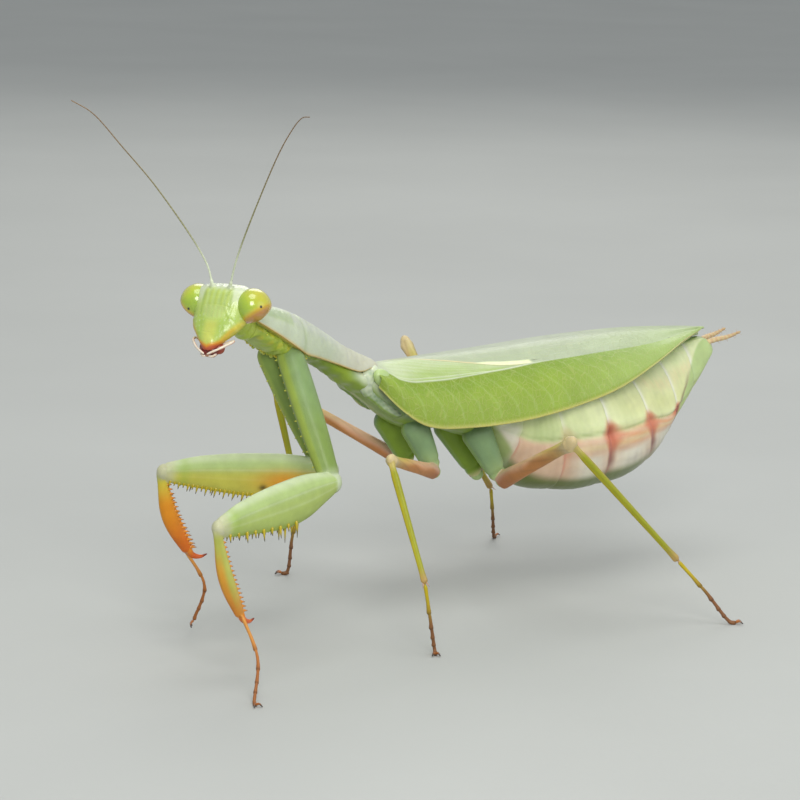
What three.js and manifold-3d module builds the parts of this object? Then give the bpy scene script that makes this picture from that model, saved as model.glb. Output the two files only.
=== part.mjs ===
// Praying mantis, a still life-size model of a gravid female. Units are millimetres.
// -X is forward, -Y is the animal's left and +Z is up. The feet rest on z = 0.
// Headings are degrees from forward, positive to the animal's left; a rise is degrees above level.

import * as THREE from 'three';
import { mergeVertices } from 'three/addons/utils/BufferGeometryUtils.js';
import Module from 'manifold-3d';

const wasm = await Module();
wasm.setup();

// ---------------------------------------------------------------- driving sizes

const GAP = 0.12; // clearance kept where two pieces meet
const FLOOR = 0;
const LEFT = -1; // sign of Y on the animal's left
const RIGHT = 1;

// Prothorax: its axis runs from the rear of the pronotum to its front.
const PRONOTUM = { rear: [0, 0, 26.4], length: 22.3, heading: 16, rise: 23 };

// Head: centre between the eyes, and where the face looks.
const HEAD = { centre: [-22.6, -7.45, 35.0], heading: 31.5, rise: 18 };
const EYE = { apart: 2.98, half: [1.75, 1.85, 2.1] }; // sideways, up, forward

// Each antenna's bends are steps from its root: outward, straight up, and level ahead of the face.
const ANTENNA = {
  apart: 0.95, up: 1.6, forward: 1.5, baseRadius: 0.3, tipRadius: 0.26,
  left: [[0.9, 2.6, 0.6], [4.6, 9.2, 3.3], [8.8, 15.3, 6.6], [11.3, 17.8, 8.3], [12.3, 18.0, 8.8]],
  right: [[0.5, 2.2, 0.4], [4.3, 9.4, 3.3], [7.0, 13.6, 5.6], [9.2, 16.9, 7.6], [10.8, 18.1, 8.8]],
};

const THORAX = { front: -0.9, joint: 7.6, rear: 14.0 };

// Abdomen: an axis in the middle plane, with sizes by the share of its length.
const ABDOMEN_AXIS = [[14.2, 20.2], [20.5, 17.9], [28.5, 17.2], [36.0, 18.6], [41.8, 21.2], [46.4, 24.2]];
const ABDOMEN_JOINTS = [0, 0.11, 0.28, 0.45, 0.61, 0.75, 0.87, 1];

const WING = { root: -1.0, tip: 45.0, thickness: 0.5 };

// Walking legs: where the coxa meets the thorax, then length, heading and rise of each segment.
// A tarsus has no rise: it slopes down as far as the floor.
const WALKING_LEGS = {
  mid_left: {
    hip: [4.1, -2.5, 19.2], coxa: [5.3, 154, -65], femur: [16.0, 37, 15.5], tibia: [13.0, 87, -58.5],
    tarsus: [7.5, 180], toe: 60,
  },
  mid_right: {
    hip: [4.1, 2.5, 19.2], coxa: [5.6, -162, -60], femur: [16.4, -58, 23], tibia: [13.0, 148, -77],
    tarsus: [8.0, -19], toe: -40,
  },
  hind_left: {
    hip: [12.1, -2.6, 17.9], coxa: [6.2, 163, -62], femur: [20.0, 75, 23], tibia: [19.0, 174, -45],
    tarsus: [8.8, 144], toe: 150,
  },
  hind_right: {
    hip: [12.1, 2.6, 17.9], coxa: [6.4, -175, -54], femur: [20.0, -99, 32.5], tibia: [19.0, 136, -58],
    tarsus: [9.5, -132], toe: -140,
  },
};
const WALKING_SIZES = {
  mid: { coxa: 1.25, femur: 0.55, tibia: 0.42, tarsus: 0.29 },
  hind: { coxa: 1.3, femur: 0.68, tibia: 0.42, tarsus: 0.3 },
};

// Raptorial legs: the coxa's place is measured along, beside and under the pronotum's axis.
const FORE_HIP = { along: 14.3, beside: 1.3, under: 3.2 };
const FORE_LEGS = {
  fore_left: {
    coxa: [14.1, 92, -58], femur: [18.1, 19, -4.5], tibia: [9.2, 178, -73], tarsus: [9.6, 69], bow: 145,
    toe: 75,
  },
  fore_right: {
    coxa: [14.4, 162, -64], femur: [18.3, -10, 4.5], tibia: [9.3, -174, -68], tarsus: [3.9, 145, -65],
    tip: [3.4, -35, -74], toe: -35,
  },
};
const FORE_SIZES = { coxa: 1.45, tibia: 0.75, tarsus: 0.29 };

const COLOURS = {
  leaf: [0.36, 0.5, 0.12], pale: [0.55, 0.62, 0.36], belly: [0.62, 0.66, 0.42], blush: [0.72, 0.45, 0.34],
  olive: [0.48, 0.47, 0.12], tan: [0.55, 0.34, 0.2], orange: [0.75, 0.32, 0.08], eye: [0.5, 0.56, 0.14],
  mouth: [0.62, 0.2, 0.1], feeler: [0.3, 0.24, 0.14], wing: [0.42, 0.55, 0.18],
};

// ---------------------------------------------------------------- small maths

const vec = (list) => new THREE.Vector3(...list);

function direction(heading, rise) {
  const turn = THREE.MathUtils.degToRad(heading);
  const lift = THREE.MathUtils.degToRad(rise);
  return vec([-Math.cos(turn) * Math.cos(lift), -Math.sin(turn) * Math.cos(lift), Math.sin(lift)]);
}

const from = (start, way, distance) => start.clone().addScaledVector(way, distance);

// A smooth function through a few [position, value] pairs, level beyond its ends.
function profile(knots) {
  const last = knots.length - 1;
  const slopes = knots.map((knot, i) => {
    const before = knots[Math.max(i - 1, 0)];
    const after = knots[Math.min(i + 1, last)];
    return (after[1] - before[1]) / (after[0] - before[0]);
  });
  return (x) => {
    if (x <= knots[0][0]) return knots[0][1];
    if (x >= knots[last][0]) return knots[last][1];
    const i = knots.findIndex((knot) => knot[0] > x) - 1;
    const [x0, y0] = knots[i];
    const [x1, y1] = knots[i + 1];
    const span = x1 - x0;
    const t = (x - x0) / span;
    const bend = (1 - t) * (1 - t);
    return y0 * (1 + 2 * t) * bend + slopes[i] * span * t * bend
      + y1 * t * t * (3 - 2 * t) - slopes[i + 1] * span * t * t * (1 - t);
  };
}

// Shares of a length from 0 to 1, closer together near both ends.
function shares(count) {
  return Array.from({ length: count }, (_, i) => 0.5 - 0.5 * Math.cos((Math.PI * (i + 0.5)) / count));
}

// ---------------------------------------------------------------- solids

// A closed solid from points and triangles, turned so that its faces point out.
function solid(points, triangles) {
  let volume = 0;
  for (const [a, b, c] of triangles) {
    volume += points[a].dot(points[b].clone().cross(points[c]));
  }
  const faces = volume < 0 ? triangles.map(([a, b, c]) => [a, c, b]) : triangles;
  return new wasm.Manifold(new wasm.Mesh({
    numProp: 3,
    vertProperties: new Float32Array(points.flatMap((p) => [p.x, p.y, p.z])),
    triVerts: new Uint32Array(faces.flat()),
  }));
}

// Skins a row of closed rings and closes both ends onto a point.
function loft(start, rings, end) {
  const count = rings[0].length;
  const points = [...rings.flat(), start, end];
  const triangles = [];
  for (let r = 0; r + 1 < rings.length; r += 1) {
    for (let i = 0; i < count; i += 1) {
      const next = (i + 1) % count;
      const a = r * count;
      triangles.push([a + i, a + next, a + count + i], [a + next, a + count + next, a + count + i]);
    }
  }
  const tail = (rings.length - 1) * count;
  for (let i = 0; i < count; i += 1) {
    const next = (i + 1) % count;
    triangles.push([points.length - 2, next, i], [points.length - 1, tail + i, tail + next]);
  }
  return solid(points, triangles);
}

// An oval ring about a centre, with its own reach to each side, above and below.
// A power over 1 makes it more of a diamond, under 1 more of a box.
function oval(centre, sideways, up, { half, above, below, power = 1 }, count) {
  const shape = (value) => Math.sign(value) * Math.abs(value) ** power;
  return Array.from({ length: count }, (_, i) => {
    const angle = (2 * Math.PI * i) / count;
    const rise = shape(Math.sin(angle));
    return from(from(centre, sideways, half * shape(Math.cos(angle))), up, rise * (rise > 0 ? above : below));
  });
}

function ellipsoid(centre, axes, half, detail) {
  const rings = shares(detail).map((share) => {
    const lift = 2 * share - 1;
    const size = Math.sqrt(1 - lift * lift);
    const reach = { half: half[0] * size, above: half[2] * size, below: half[2] * size };
    return oval(from(centre, axes[1], lift * half[1]), axes[0], axes[2], reach, 2 * detail);
  });
  return loft(from(centre, axes[1], -half[1]), rings, from(centre, axes[1], half[1]));
}

// A limb along a curve. `back` is the side that its rings call up; sizes are functions of the share.
// `grow` swells it all over, for cutting a neighbour clear of it.
function limb(curve, back, { half, above, below = above }, { sides = 8, steps = 8, grow = 0 } = {}) {
  const length = curve.getLength();
  const round = (share, size) => {
    const end = Math.min(share, 1 - share) * length;
    return end < size ? Math.sqrt(1 - (1 - end / size) ** 2) : 1;
  };
  const rings = shares(steps).map((share) => {
    const tangent = curve.getTangentAt(share);
    const up = back.clone().addScaledVector(tangent, -back.dot(tangent)).normalize();
    const sideways = tangent.clone().cross(up);
    const taper = round(share, half(share));
    const reach = { half: half(share) * taper + grow, above: above(share) * taper + grow };
    reach.below = below(share) * taper + grow;
    return oval(curve.getPointAt(share), sideways, up, reach, sides);
  });
  const start = from(curve.getPointAt(0), curve.getTangentAt(0), -grow);
  const end = from(curve.getPointAt(1), curve.getTangentAt(1), grow);
  return loft(start, rings, end);
}

function cone(base, tip, radius, sides = 4) {
  const way = tip.clone().sub(base).normalize();
  const across = (Math.abs(way.z) < 0.9 ? vec([0, 0, 1]) : vec([1, 0, 0])).cross(way).normalize();
  const ring = oval(base, across, way.clone().cross(across), { half: radius, above: radius, below: radius }, sides);
  return loft(base.clone().addScaledVector(way, -radius), [ring], tip);
}

const line = (start, end) => new THREE.LineCurve3(start, end);
const bent = (points) => new THREE.CatmullRomCurve3(points);
const steady = (value) => () => value;

function join(pieces) {
  return pieces.reduce((whole, piece) => whole.add(piece));
}

// Cuts the tools away and keeps the largest piece that is left.
function carve(host, tools) {
  const left = tools.reduce((rest, tool) => rest.subtract(tool), host);
  return left.decompose().reduce((best, piece) => (piece.volume() > best.volume() ? piece : best));
}

// Takes away whatever reaches below the floor, which leaves a small flat there.
function standOnFloor(piece) {
  const slab = new THREE.BoxGeometry(200, 200, 10);
  slab.deleteAttribute('normal');
  slab.deleteAttribute('uv');
  const box = mergeVertices(slab);
  return piece.subtract(new wasm.Manifold(new wasm.Mesh({
    numProp: 3,
    vertProperties: new Float32Array(box.attributes.position.array),
    triVerts: new Uint32Array(box.index.array),
  })).translate([0, 0, FLOOR - 5]));
}

function meshOf(name, piece, colour, roughness = 0.5) {
  const made = piece.getMesh();
  const geometry = new THREE.BufferGeometry();
  geometry.setAttribute('position', new THREE.BufferAttribute(new Float32Array(made.vertProperties), 3));
  geometry.setIndex(new THREE.BufferAttribute(new Uint32Array(made.triVerts), 1));
  geometry.computeVertexNormals();
  const material = new THREE.MeshStandardMaterial({ roughness, metalness: 0 });
  material.color.setRGB(...COLOURS[colour]);
  const mesh = new THREE.Mesh(geometry, material);
  mesh.name = name;
  return mesh;
}

// ---------------------------------------------------------------- prothorax

const CHEST = (() => {
  const along = direction(PRONOTUM.heading, PRONOTUM.rise);
  const beside = vec([0, 0, 1]).cross(along).normalize(); // towards the animal's left
  const up = along.clone().cross(beside);
  const at = (distance, sideways, height) => from(
    from(from(vec(PRONOTUM.rear), along, distance), beside, sideways), up, height);
  return { along, beside, up, at };
})();

const SHIELD_MARGIN = profile([[0, -1.35], [6, -1.4], [12, -1.45], [20, -1.35]]); // height of the side margins

function makePronotum(grow = 0) {
  const half = profile([[0, 1.9], [5, 1.8], [9, 2.0], [12, 2.4], [15, 2.85], [18, 2.6], [21, 1.9], [22.3, 1.0]]);
  const keel = profile([[0, 0], [5, 0.05], [9, 0.5], [12, 0.75], [16, 0.8], [20, 0.1], [22.3, -0.9]]);
  const stops = [0, 2.5, 5, 7.5, 10, 12, 13.5, 15, 16.5, 18, 19.5, 21, 22];
  const rings = stops.map((s) => oval(CHEST.at(s, 0, SHIELD_MARGIN(s)), CHEST.beside, CHEST.up, {
    half: half(s) + grow, above: keel(s) - SHIELD_MARGIN(s) + grow, below: 0.3 + grow, power: 1.15,
  }, 12));
  return loft(CHEST.at(-0.1 - grow, 0, -1), rings, CHEST.at(PRONOTUM.length + grow, 0, -1.9));
}

function makeProsternum(grow = 0) {
  const half = profile([[-1.5, 1.9], [0, 1.7], [6, 1.35], [10, 1.6], [14, 2.2], [18, 1.9], [21, 1.3]]);
  const belly = profile([[-1.5, -5.0], [0, -4.6], [3.6, -3.9], [7, -3.2], [10, -3.0], [14, -3.9], [17.6, -3.7],
    [19.5, -3.1], [21, -2.7]]);
  const rings = [-1.2, 1.5, 4.5, 7.5, 10.5, 13, 15, 17, 19, 20.6].map((s) => {
    const top = SHIELD_MARGIN(s) - 0.3 - GAP;
    const middle = (top + belly(s)) / 2;
    const reach = (top - belly(s)) / 2 + grow;
    return oval(CHEST.at(s, 0, middle), CHEST.beside, CHEST.up,
      { half: half(s) + grow, above: reach, below: reach, power: 0.85 }, 12);
  });
  return loft(CHEST.at(-1.3 - grow, 0, -3.6), rings, CHEST.at(20.9 + grow, 0, -3.1));
}

// ---------------------------------------------------------------- head

const FACE = (() => {
  const forward = direction(HEAD.heading, HEAD.rise);
  const left = vec([0, 0, 1]).cross(forward).normalize();
  const up = forward.clone().cross(left);
  const at = (sideways, height, depth) => from(
    from(from(vec(HEAD.centre), left, sideways), up, height), forward, depth);
  return { forward, left, up, at };
})();

// side is +1 for the animal's left here, as the face frame's sideways axis points left.
function makeEye(side, grow = 0) {
  const axes = [FACE.left, FACE.up, FACE.forward];
  return ellipsoid(FACE.at(side * EYE.apart, 0, -0.15), axes, EYE.half.map((size) => size + grow), 6);
}

function makeHead(grow = 0) {
  const half = profile([[-4.4, 0.9], [-3.6, 1.8], [-2.6, 2.6], [-1.2, 3.1], [0, 3.2], [1, 3.1], [1.6, 2.7], [1.95, 1.9]]);
  const face = profile([[-4.4, 0.7], [-2, 1.6], [-0.5, 2.1], [0.8, 2.0], [1.5, 1.5], [1.95, 0.6]]);
  const nape = profile([[-4.4, 0.6], [-2, 1.5], [0, 1.9], [1.2, 1.7], [1.95, 0.9]]);
  const jut = profile([[-4.4, 1.35], [-2.6, 0.75], [-1, 0.2], [0.5, 0]]); // the lower face lies further forward
  const rings = [-4.4, -3.7, -2.8, -1.8, -0.8, 0.2, 1.0, 1.5, 1.9].map((height) => oval(
    FACE.at(0, height, jut(height)), FACE.left, FACE.forward,
    { half: half(height) + grow, above: face(height) + grow, below: nape(height) + grow, power: 0.9 }, 16));
  return loft(FACE.at(0, -4.5 - grow, 1.4), rings, FACE.at(0, 2.02 + grow, -0.1));
}

function makeMouthparts() {
  const rings = [[-4.65, 0.85, 0.7, 0.9], [-5.0, 0.75, 0.7, 0.8], [-5.4, 0.4, 0.5, 0.4]].map(
    ([height, half, above, below]) => oval(FACE.at(0, height, 1.2), FACE.left, FACE.forward, { half, above, below }, 8));
  const jaws = loft(FACE.at(0, -4.65, 1.2), rings, FACE.at(0, -5.5, 1.2));
  const palps = [1, -1].map((side) => limb(
    bent([FACE.at(side * 0.5, -4.95, 0.7), FACE.at(side * 1.9, -4.0, 0.9), FACE.at(side * 1.4, -4.8, 1.5),
      FACE.at(side * 0.3, -5.5, 1.75)]),
    FACE.forward, { half: steady(0.27), above: steady(0.27) }, { sides: 5, steps: 5 }));
  return carve(join([jaws, ...palps]), [makeHead(GAP)]);
}

function antennaCurve(side) {
  const root = FACE.at(side * ANTENNA.apart, ANTENNA.up, ANTENNA.forward);
  const ahead = direction(HEAD.heading, 0);
  return bent([[0, 0, 0], ...(side > 0 ? ANTENNA.left : ANTENNA.right)].map(
    ([outward, height, depth]) => from(from(from(root, FACE.left, side * outward), vec([0, 0, 1]), height), ahead, depth)));
}

function makeAntenna(side, grow = 0) {
  const radius = (share) => THREE.MathUtils.lerp(ANTENNA.baseRadius, ANTENNA.tipRadius, share);
  return limb(antennaCurve(side), FACE.forward, { half: radius, above: radius }, { sides: 6, steps: 13, grow });
}

function makeNeck(grow = 0) {
  const path = line(CHEST.at(20.2, 0, -2.5), FACE.at(0, -0.6, -0.3));
  return limb(path, CHEST.up, { half: steady(1.4), above: steady(1.3) }, { sides: 10, steps: 5, grow });
}

// ---------------------------------------------------------------- mesothorax and metathorax

function makeThorax(start, end, grow = 0) {
  const half = profile([[-0.9, 1.7], [1, 2.6], [4, 3.5], [8, 3.8], [12, 3.9], [14, 3.9]]);
  const top = profile([[-0.9, 24.6], [1, 24.5], [4, 24.2], [8, 24.1], [12, 24.0], [14, 23.9]]);
  const belly = profile([[-0.9, 22.0], [1, 20.0], [4, 18.7], [8, 18.4], [11, 17.4], [14, 16.5]]);
  const steps = 4;
  const centre = (x) => vec([x, 0, (top(x) + belly(x)) / 2]);
  const rings = Array.from({ length: steps + 1 }, (_, i) => {
    const x = THREE.MathUtils.lerp(start - grow, end + grow, i / steps);
    const reach = (top(x) - belly(x)) / 2 + grow;
    return oval(centre(x), vec([0, 1, 0]), vec([0, 0, 1]),
      { half: half(x) + grow, above: reach, below: reach, power: 0.85 }, 14);
  });
  return loft(centre(start - grow), rings, centre(end + grow));
}

// ---------------------------------------------------------------- abdomen

const SPINE = bent(ABDOMEN_AXIS.map(([x, z]) => vec([x, 0, z])));

function makeAbdomenSegment(start, end) {
  const half = profile([[0, 3.9], [0.12, 5.2], [0.3, 6.5], [0.43, 6.6], [0.55, 5.9], [0.65, 4.8], [0.84, 2.7], [1, 1.0]]);
  const back = profile([[0, 3.5], [0.1, 4.7], [0.2, 5.8], [0.43, 6.6], [0.65, 5.2], [0.84, 2.7], [1, 0.7]]);
  const belly = profile([[0, 3.7], [0.05, 5.0], [0.11, 6.5], [0.2, 7.1], [0.35, 7.1], [0.45, 6.9], [0.55, 6.3],
    [0.65, 4.8], [0.75, 3.1], [0.84, 2.1], [0.93, 1.3], [1, 0.8]]);
  const lean = profile([[0, 0], [0.12, 0.4], [0.45, 0.42], [0.7, 0.25], [1, 0]]); // the belly edge lies further back
  const length = SPINE.getLength();
  const first = start + (start > 0 ? GAP / 2 / length : 0);
  const final = end - (end < 1 ? GAP / 2 / length : 0.004);
  const rings = [0, 0.3, 0.7, 1].map((part) => {
    const share = THREE.MathUtils.lerp(first, final, part);
    const tangent = SPINE.getTangentAt(share);
    const up = vec([0, 1, 0]).cross(tangent).negate();
    const lip = 1 + 0.02 * part; // each plate widens a little towards its rear edge
    return oval(SPINE.getPointAt(share), vec([0, 1, 0]), from(up, tangent, -lean(share)),
      { half: half(share) * lip, above: back(share) * lip, below: belly(share) * lip, power: 0.92 }, 16);
  });
  return loft(SPINE.getPointAt(first), rings, SPINE.getPointAt(final));
}

function makeCercus(side) {
  const root = vec([46.4, side * 0.8, 24.75]);
  const path = bent([root, vec([48.1, side * 1.1, 24.9]), vec([49.9, side * 1.3, 25.4])]);
  const radius = profile([[0, 0.36], [0.6, 0.3], [1, 0.25]]);
  return limb(path, vec([0, 0, 1]), { half: radius, above: radius }, { sides: 6, steps: 5 });
}

// ---------------------------------------------------------------- wings

// Edge lines of a folded forewing by distance from the wing root: [sideways, height].
const FOREWING = {
  costaOut: profile([[0, 3.1], [2, 4.6], [4.5, 5.7], [9, 6.4], [16, 7.1], [23, 7.4], [29, 7.2], [35, 6.1], [40, 4.2], [46, 0.6]]),
  costaUp: profile([[0, 24.1], [2, 21.6], [4.5, 19.9], [9, 19.4], [16, 19.6], [23, 20.6], [29, 22.0], [35, 24.1],
    [40, 25.6], [46, 26.1]]),
  veinOut: profile([[0, 2.6], [6, 3.9], [16, 4.5], [26, 4.7], [36, 3.9], [42, 2.0], [46, 0.4]]),
  veinUp: profile([[0, 25.4], [6, 24.6], [16, 24.2], [26, 24.8], [36, 25.7], [42, 26.1], [46, 26.15]]),
  ridgeUp: profile([[0, 25.95], [8, 26.05], [16, 26.15], [26, 26.5], [36, 26.6], [46, 26.2]]),
  overlap: profile([[0, 0.3], [10, 1.4], [22, 2.3], [34, 2.2], [42, 1.4], [46, 0.5]]),
};
const UNDER_FOREWING = 0.75; // how far the right forewing lies below the left one at the middle

// A thin closed sheet: rows of points across the wing, thickened along the sheet's own normals.
function sheet(rows, thickness, grow) {
  const count = rows[0].length;
  const half = thickness / 2 + grow;
  const normal = (r, i) => {
    const along = rows[Math.min(r + 1, rows.length - 1)][i].clone().sub(rows[Math.max(r - 1, 0)][i]);
    const across = rows[r][Math.min(i + 1, count - 1)].clone().sub(rows[r][Math.max(i - 1, 0)]);
    return along.cross(across).normalize();
  };
  const rings = rows.map((row, r) => [
    ...row.map((point, i) => from(point, normal(r, i), half)),
    ...row.map((point, i) => from(point, normal(r, i), -half)).reverse(),
  ]);
  const points = rings.flat();
  const size = 2 * count;
  const triangles = [];
  for (let r = 0; r + 1 < rings.length; r += 1) {
    for (let i = 0; i < size; i += 1) {
      const next = (i + 1) % size;
      const a = r * size;
      triangles.push([a + i, a + next, a + size + i], [a + next, a + size + next, a + size + i]);
    }
  }
  for (let i = 0; i + 1 < count; i += 1) {
    const far = size - 1 - i;
    const tail = (rings.length - 1) * size;
    triangles.push([i, far, i + 1], [i + 1, far, far - 1]);
    triangles.push([tail + i, tail + i + 1, tail + far], [tail + i + 1, tail + far - 1, tail + far]);
  }
  return solid(points, triangles);
}

function makeForewing(side, grow = 0) {
  const length = WING.tip - WING.root;
  const stops = [0, 0.045, 0.1, 0.18, 0.3, 0.43, 0.56, 0.68, 0.79, 0.88, 0.95, 1];
  const rows = stops.map((share) => {
    const d = share * length;
    const drop = side === RIGHT ? UNDER_FOREWING : 0;
    const inner = side === RIGHT ? -0.6 * FOREWING.overlap(d) : FOREWING.overlap(d);
    const sink = drop * share * share; // towards its tip the lower wing lies wholly under the upper one
    const costa = vec([0, FOREWING.costaOut(d), FOREWING.costaUp(d) - sink]);
    const vein = vec([0, FOREWING.veinOut(d), FOREWING.veinUp(d) - sink]);
    const ridge = vec([0, 0.9, FOREWING.ridgeUp(d) - drop]);
    const edge = vec([0, side === LEFT ? -inner : inner, FOREWING.ridgeUp(d) - drop - 0.1]);
    const bulge = from(costa.clone().lerp(vein, 0.5), vec([0, 0.8, 0.45]), 0.7 * (1 - share) + 0.1);
    const shoulder = from(vein.clone().lerp(ridge, 0.5), vec([0, 0, 1]), 0.12);
    const across = new THREE.CatmullRomCurve3([costa, bulge, vein, shoulder, ridge, edge]);
    return [0, 0.17, 0.34, 0.5, 0.67, 0.84, 1].map((q) => {
      const point = across.getPoint(q);
      return vec([WING.root + d, side * point.y, point.z]);
    });
  });
  return sheet(rows, WING.thickness, grow);
}

// The hindwings lie folded flat between the forewings and the abdomen.
function makeHindwing(side, grow = 0) {
  const half = profile([[5, 2.4], [12, 3.3], [24, 3.7], [34, 3.2], [39, 1.9], [42.5, 0.7]]);
  const height = profile([[5, 24.7], [16, 24.8], [28, 25.1], [38, 25.1], [42.5, 25.0]]);
  const rows = [5, 8, 12, 18, 24, 30, 35, 39, 42.5].map((x) => [0, 0.35, 0.7, 1].map((q) => vec([
    x, side * THREE.MathUtils.lerp(GAP, half(x), q), height(x) - 0.75 * q * q,
  ])));
  return sheet(rows, WING.thickness, grow);
}

// ---------------------------------------------------------------- legs

// Joint points of a leg, from the hip to the toe.
function legPoints(hip, leg, footHeight) {
  const points = [hip];
  for (const [length, heading, rise] of [leg.coxa, leg.femur, leg.tibia]) {
    points.push(from(points[points.length - 1], direction(heading, rise), length));
  }
  const ankle = points[3];
  const [length, heading, rise] = leg.tarsus;
  const slope = rise ?? THREE.MathUtils.radToDeg(-Math.asin((ankle.z - footHeight) / length));
  points.push(from(ankle, direction(heading, slope), length));
  return points;
}

// Runs from one joint to the next, stopping short of both by the given distances.
function between(start, end, short = 0.1, shortEnd = short) {
  const way = end.clone().sub(start).normalize();
  return line(from(start, way, short), from(end, way, -shortEnd));
}

// A tarsus runs from the ankle to its foot, and hangs free where it has a bend on the way.
// One that stands may bow out a little towards a heading.
function makeTarsus(ankle, stops, toe, radius, bow = toe) {
  const foot = stops[stops.length - 1];
  const hanging = stops.length > 1;
  const way = direction(toe, hanging ? -70 : 0);
  const start = from(ankle, stops[0].clone().sub(ankle).normalize(), 0.32);
  const arch = hanging ? stops[0] : from(ankle.clone().lerp(foot, 0.5), direction(bow, 0), bow === toe ? 0.1 : 0.6);
  const path = bent([start, arch, foot, from(foot, way, 0.7)]);
  const size = (share) => radius * (1 + 0.12 * Math.cos(2 * Math.PI * 4 * share));
  const shaft = limb(path, way.clone().negate().add(vec([0.01, 0.02, 1])), { half: size, above: size },
    { sides: 5, steps: 7 });
  const beside = vec([0, 0, 1]).cross(way).normalize();
  const claws = [1, -1].map((side) => cone(
    from(foot, way, 0.4), from(from(from(foot, way, 1.2), beside, 0.55 * side), vec([0, 0, 1]), 0.1), radius * 0.8));
  const pad = ellipsoid(from(foot, way, 0.25), [way, vec([0, 0, 1]), beside], [0.7, 0.3, 0.42], 3);
  return hanging ? join([shaft, ...claws]) : standOnFloor(join([shaft, pad, ...claws]));
}

function makeWalkingLeg(name) {
  const leg = WALKING_LEGS[name];
  const size = WALKING_SIZES[name.split('_')[0]];
  const points = legPoints(vec(leg.hip), leg, size.tarsus * 0.8);
  const [hip, trochanter, knee, ankle] = points;
  const upward = vec([0, 0, 1]);
  const shank = ankle.clone().sub(knee).normalize();
  const coxaSize = profile([[0, 0.75 * size.coxa], [0.25, size.coxa], [0.75, 0.85 * size.coxa], [1, 0.6 * size.coxa]]);
  const femurSize = profile([[0, 1.3 * size.femur], [0.12, 1.05 * size.femur], [0.5, size.femur], [0.9, 0.85 * size.femur],
    [1, 1.25 * size.femur]]);
  const tibiaSize = profile([[0, 1.2 * size.tibia], [0.1, size.tibia], [0.85, 0.8 * size.tibia], [1, 0.95 * size.tibia]]);
  const coxa = (grow) => limb(between(hip, trochanter, 0, 0.5), vec([1, 0, 0.3]),
    { half: (s) => 0.92 * coxaSize(s), above: coxaSize }, { sides: 8, steps: 5, grow });
  return {
    points,
    coxa,
    femur: (grow) => limb(between(trochanter, knee, -0.2, -0.2), upward, { half: femurSize, above: femurSize },
      { steps: 9, grow }),
    tibia: (grow) => limb(between(knee, ankle, 0.1), shank.clone().cross(vec([0, 1, 0])),
      { half: tibiaSize, above: tibiaSize }, { steps: 8, grow }),
    tarsus: makeTarsus(ankle, [points[4]], leg.toe, size.tarsus),
  };
}

// Spines stand in rows on the side of a raptorial segment that closes on the other.
function spineRow(place, count, first, last, length, lean) {
  return Array.from({ length: count }, (_, i) => {
    const share = THREE.MathUtils.lerp(first, last, count > 1 ? i / (count - 1) : 0);
    const { root, out } = place(share);
    return cone(root, from(root, out.clone().add(lean).normalize(), length * (i % 2 ? 0.7 : 1)), 0.24, 3);
  });
}

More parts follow.
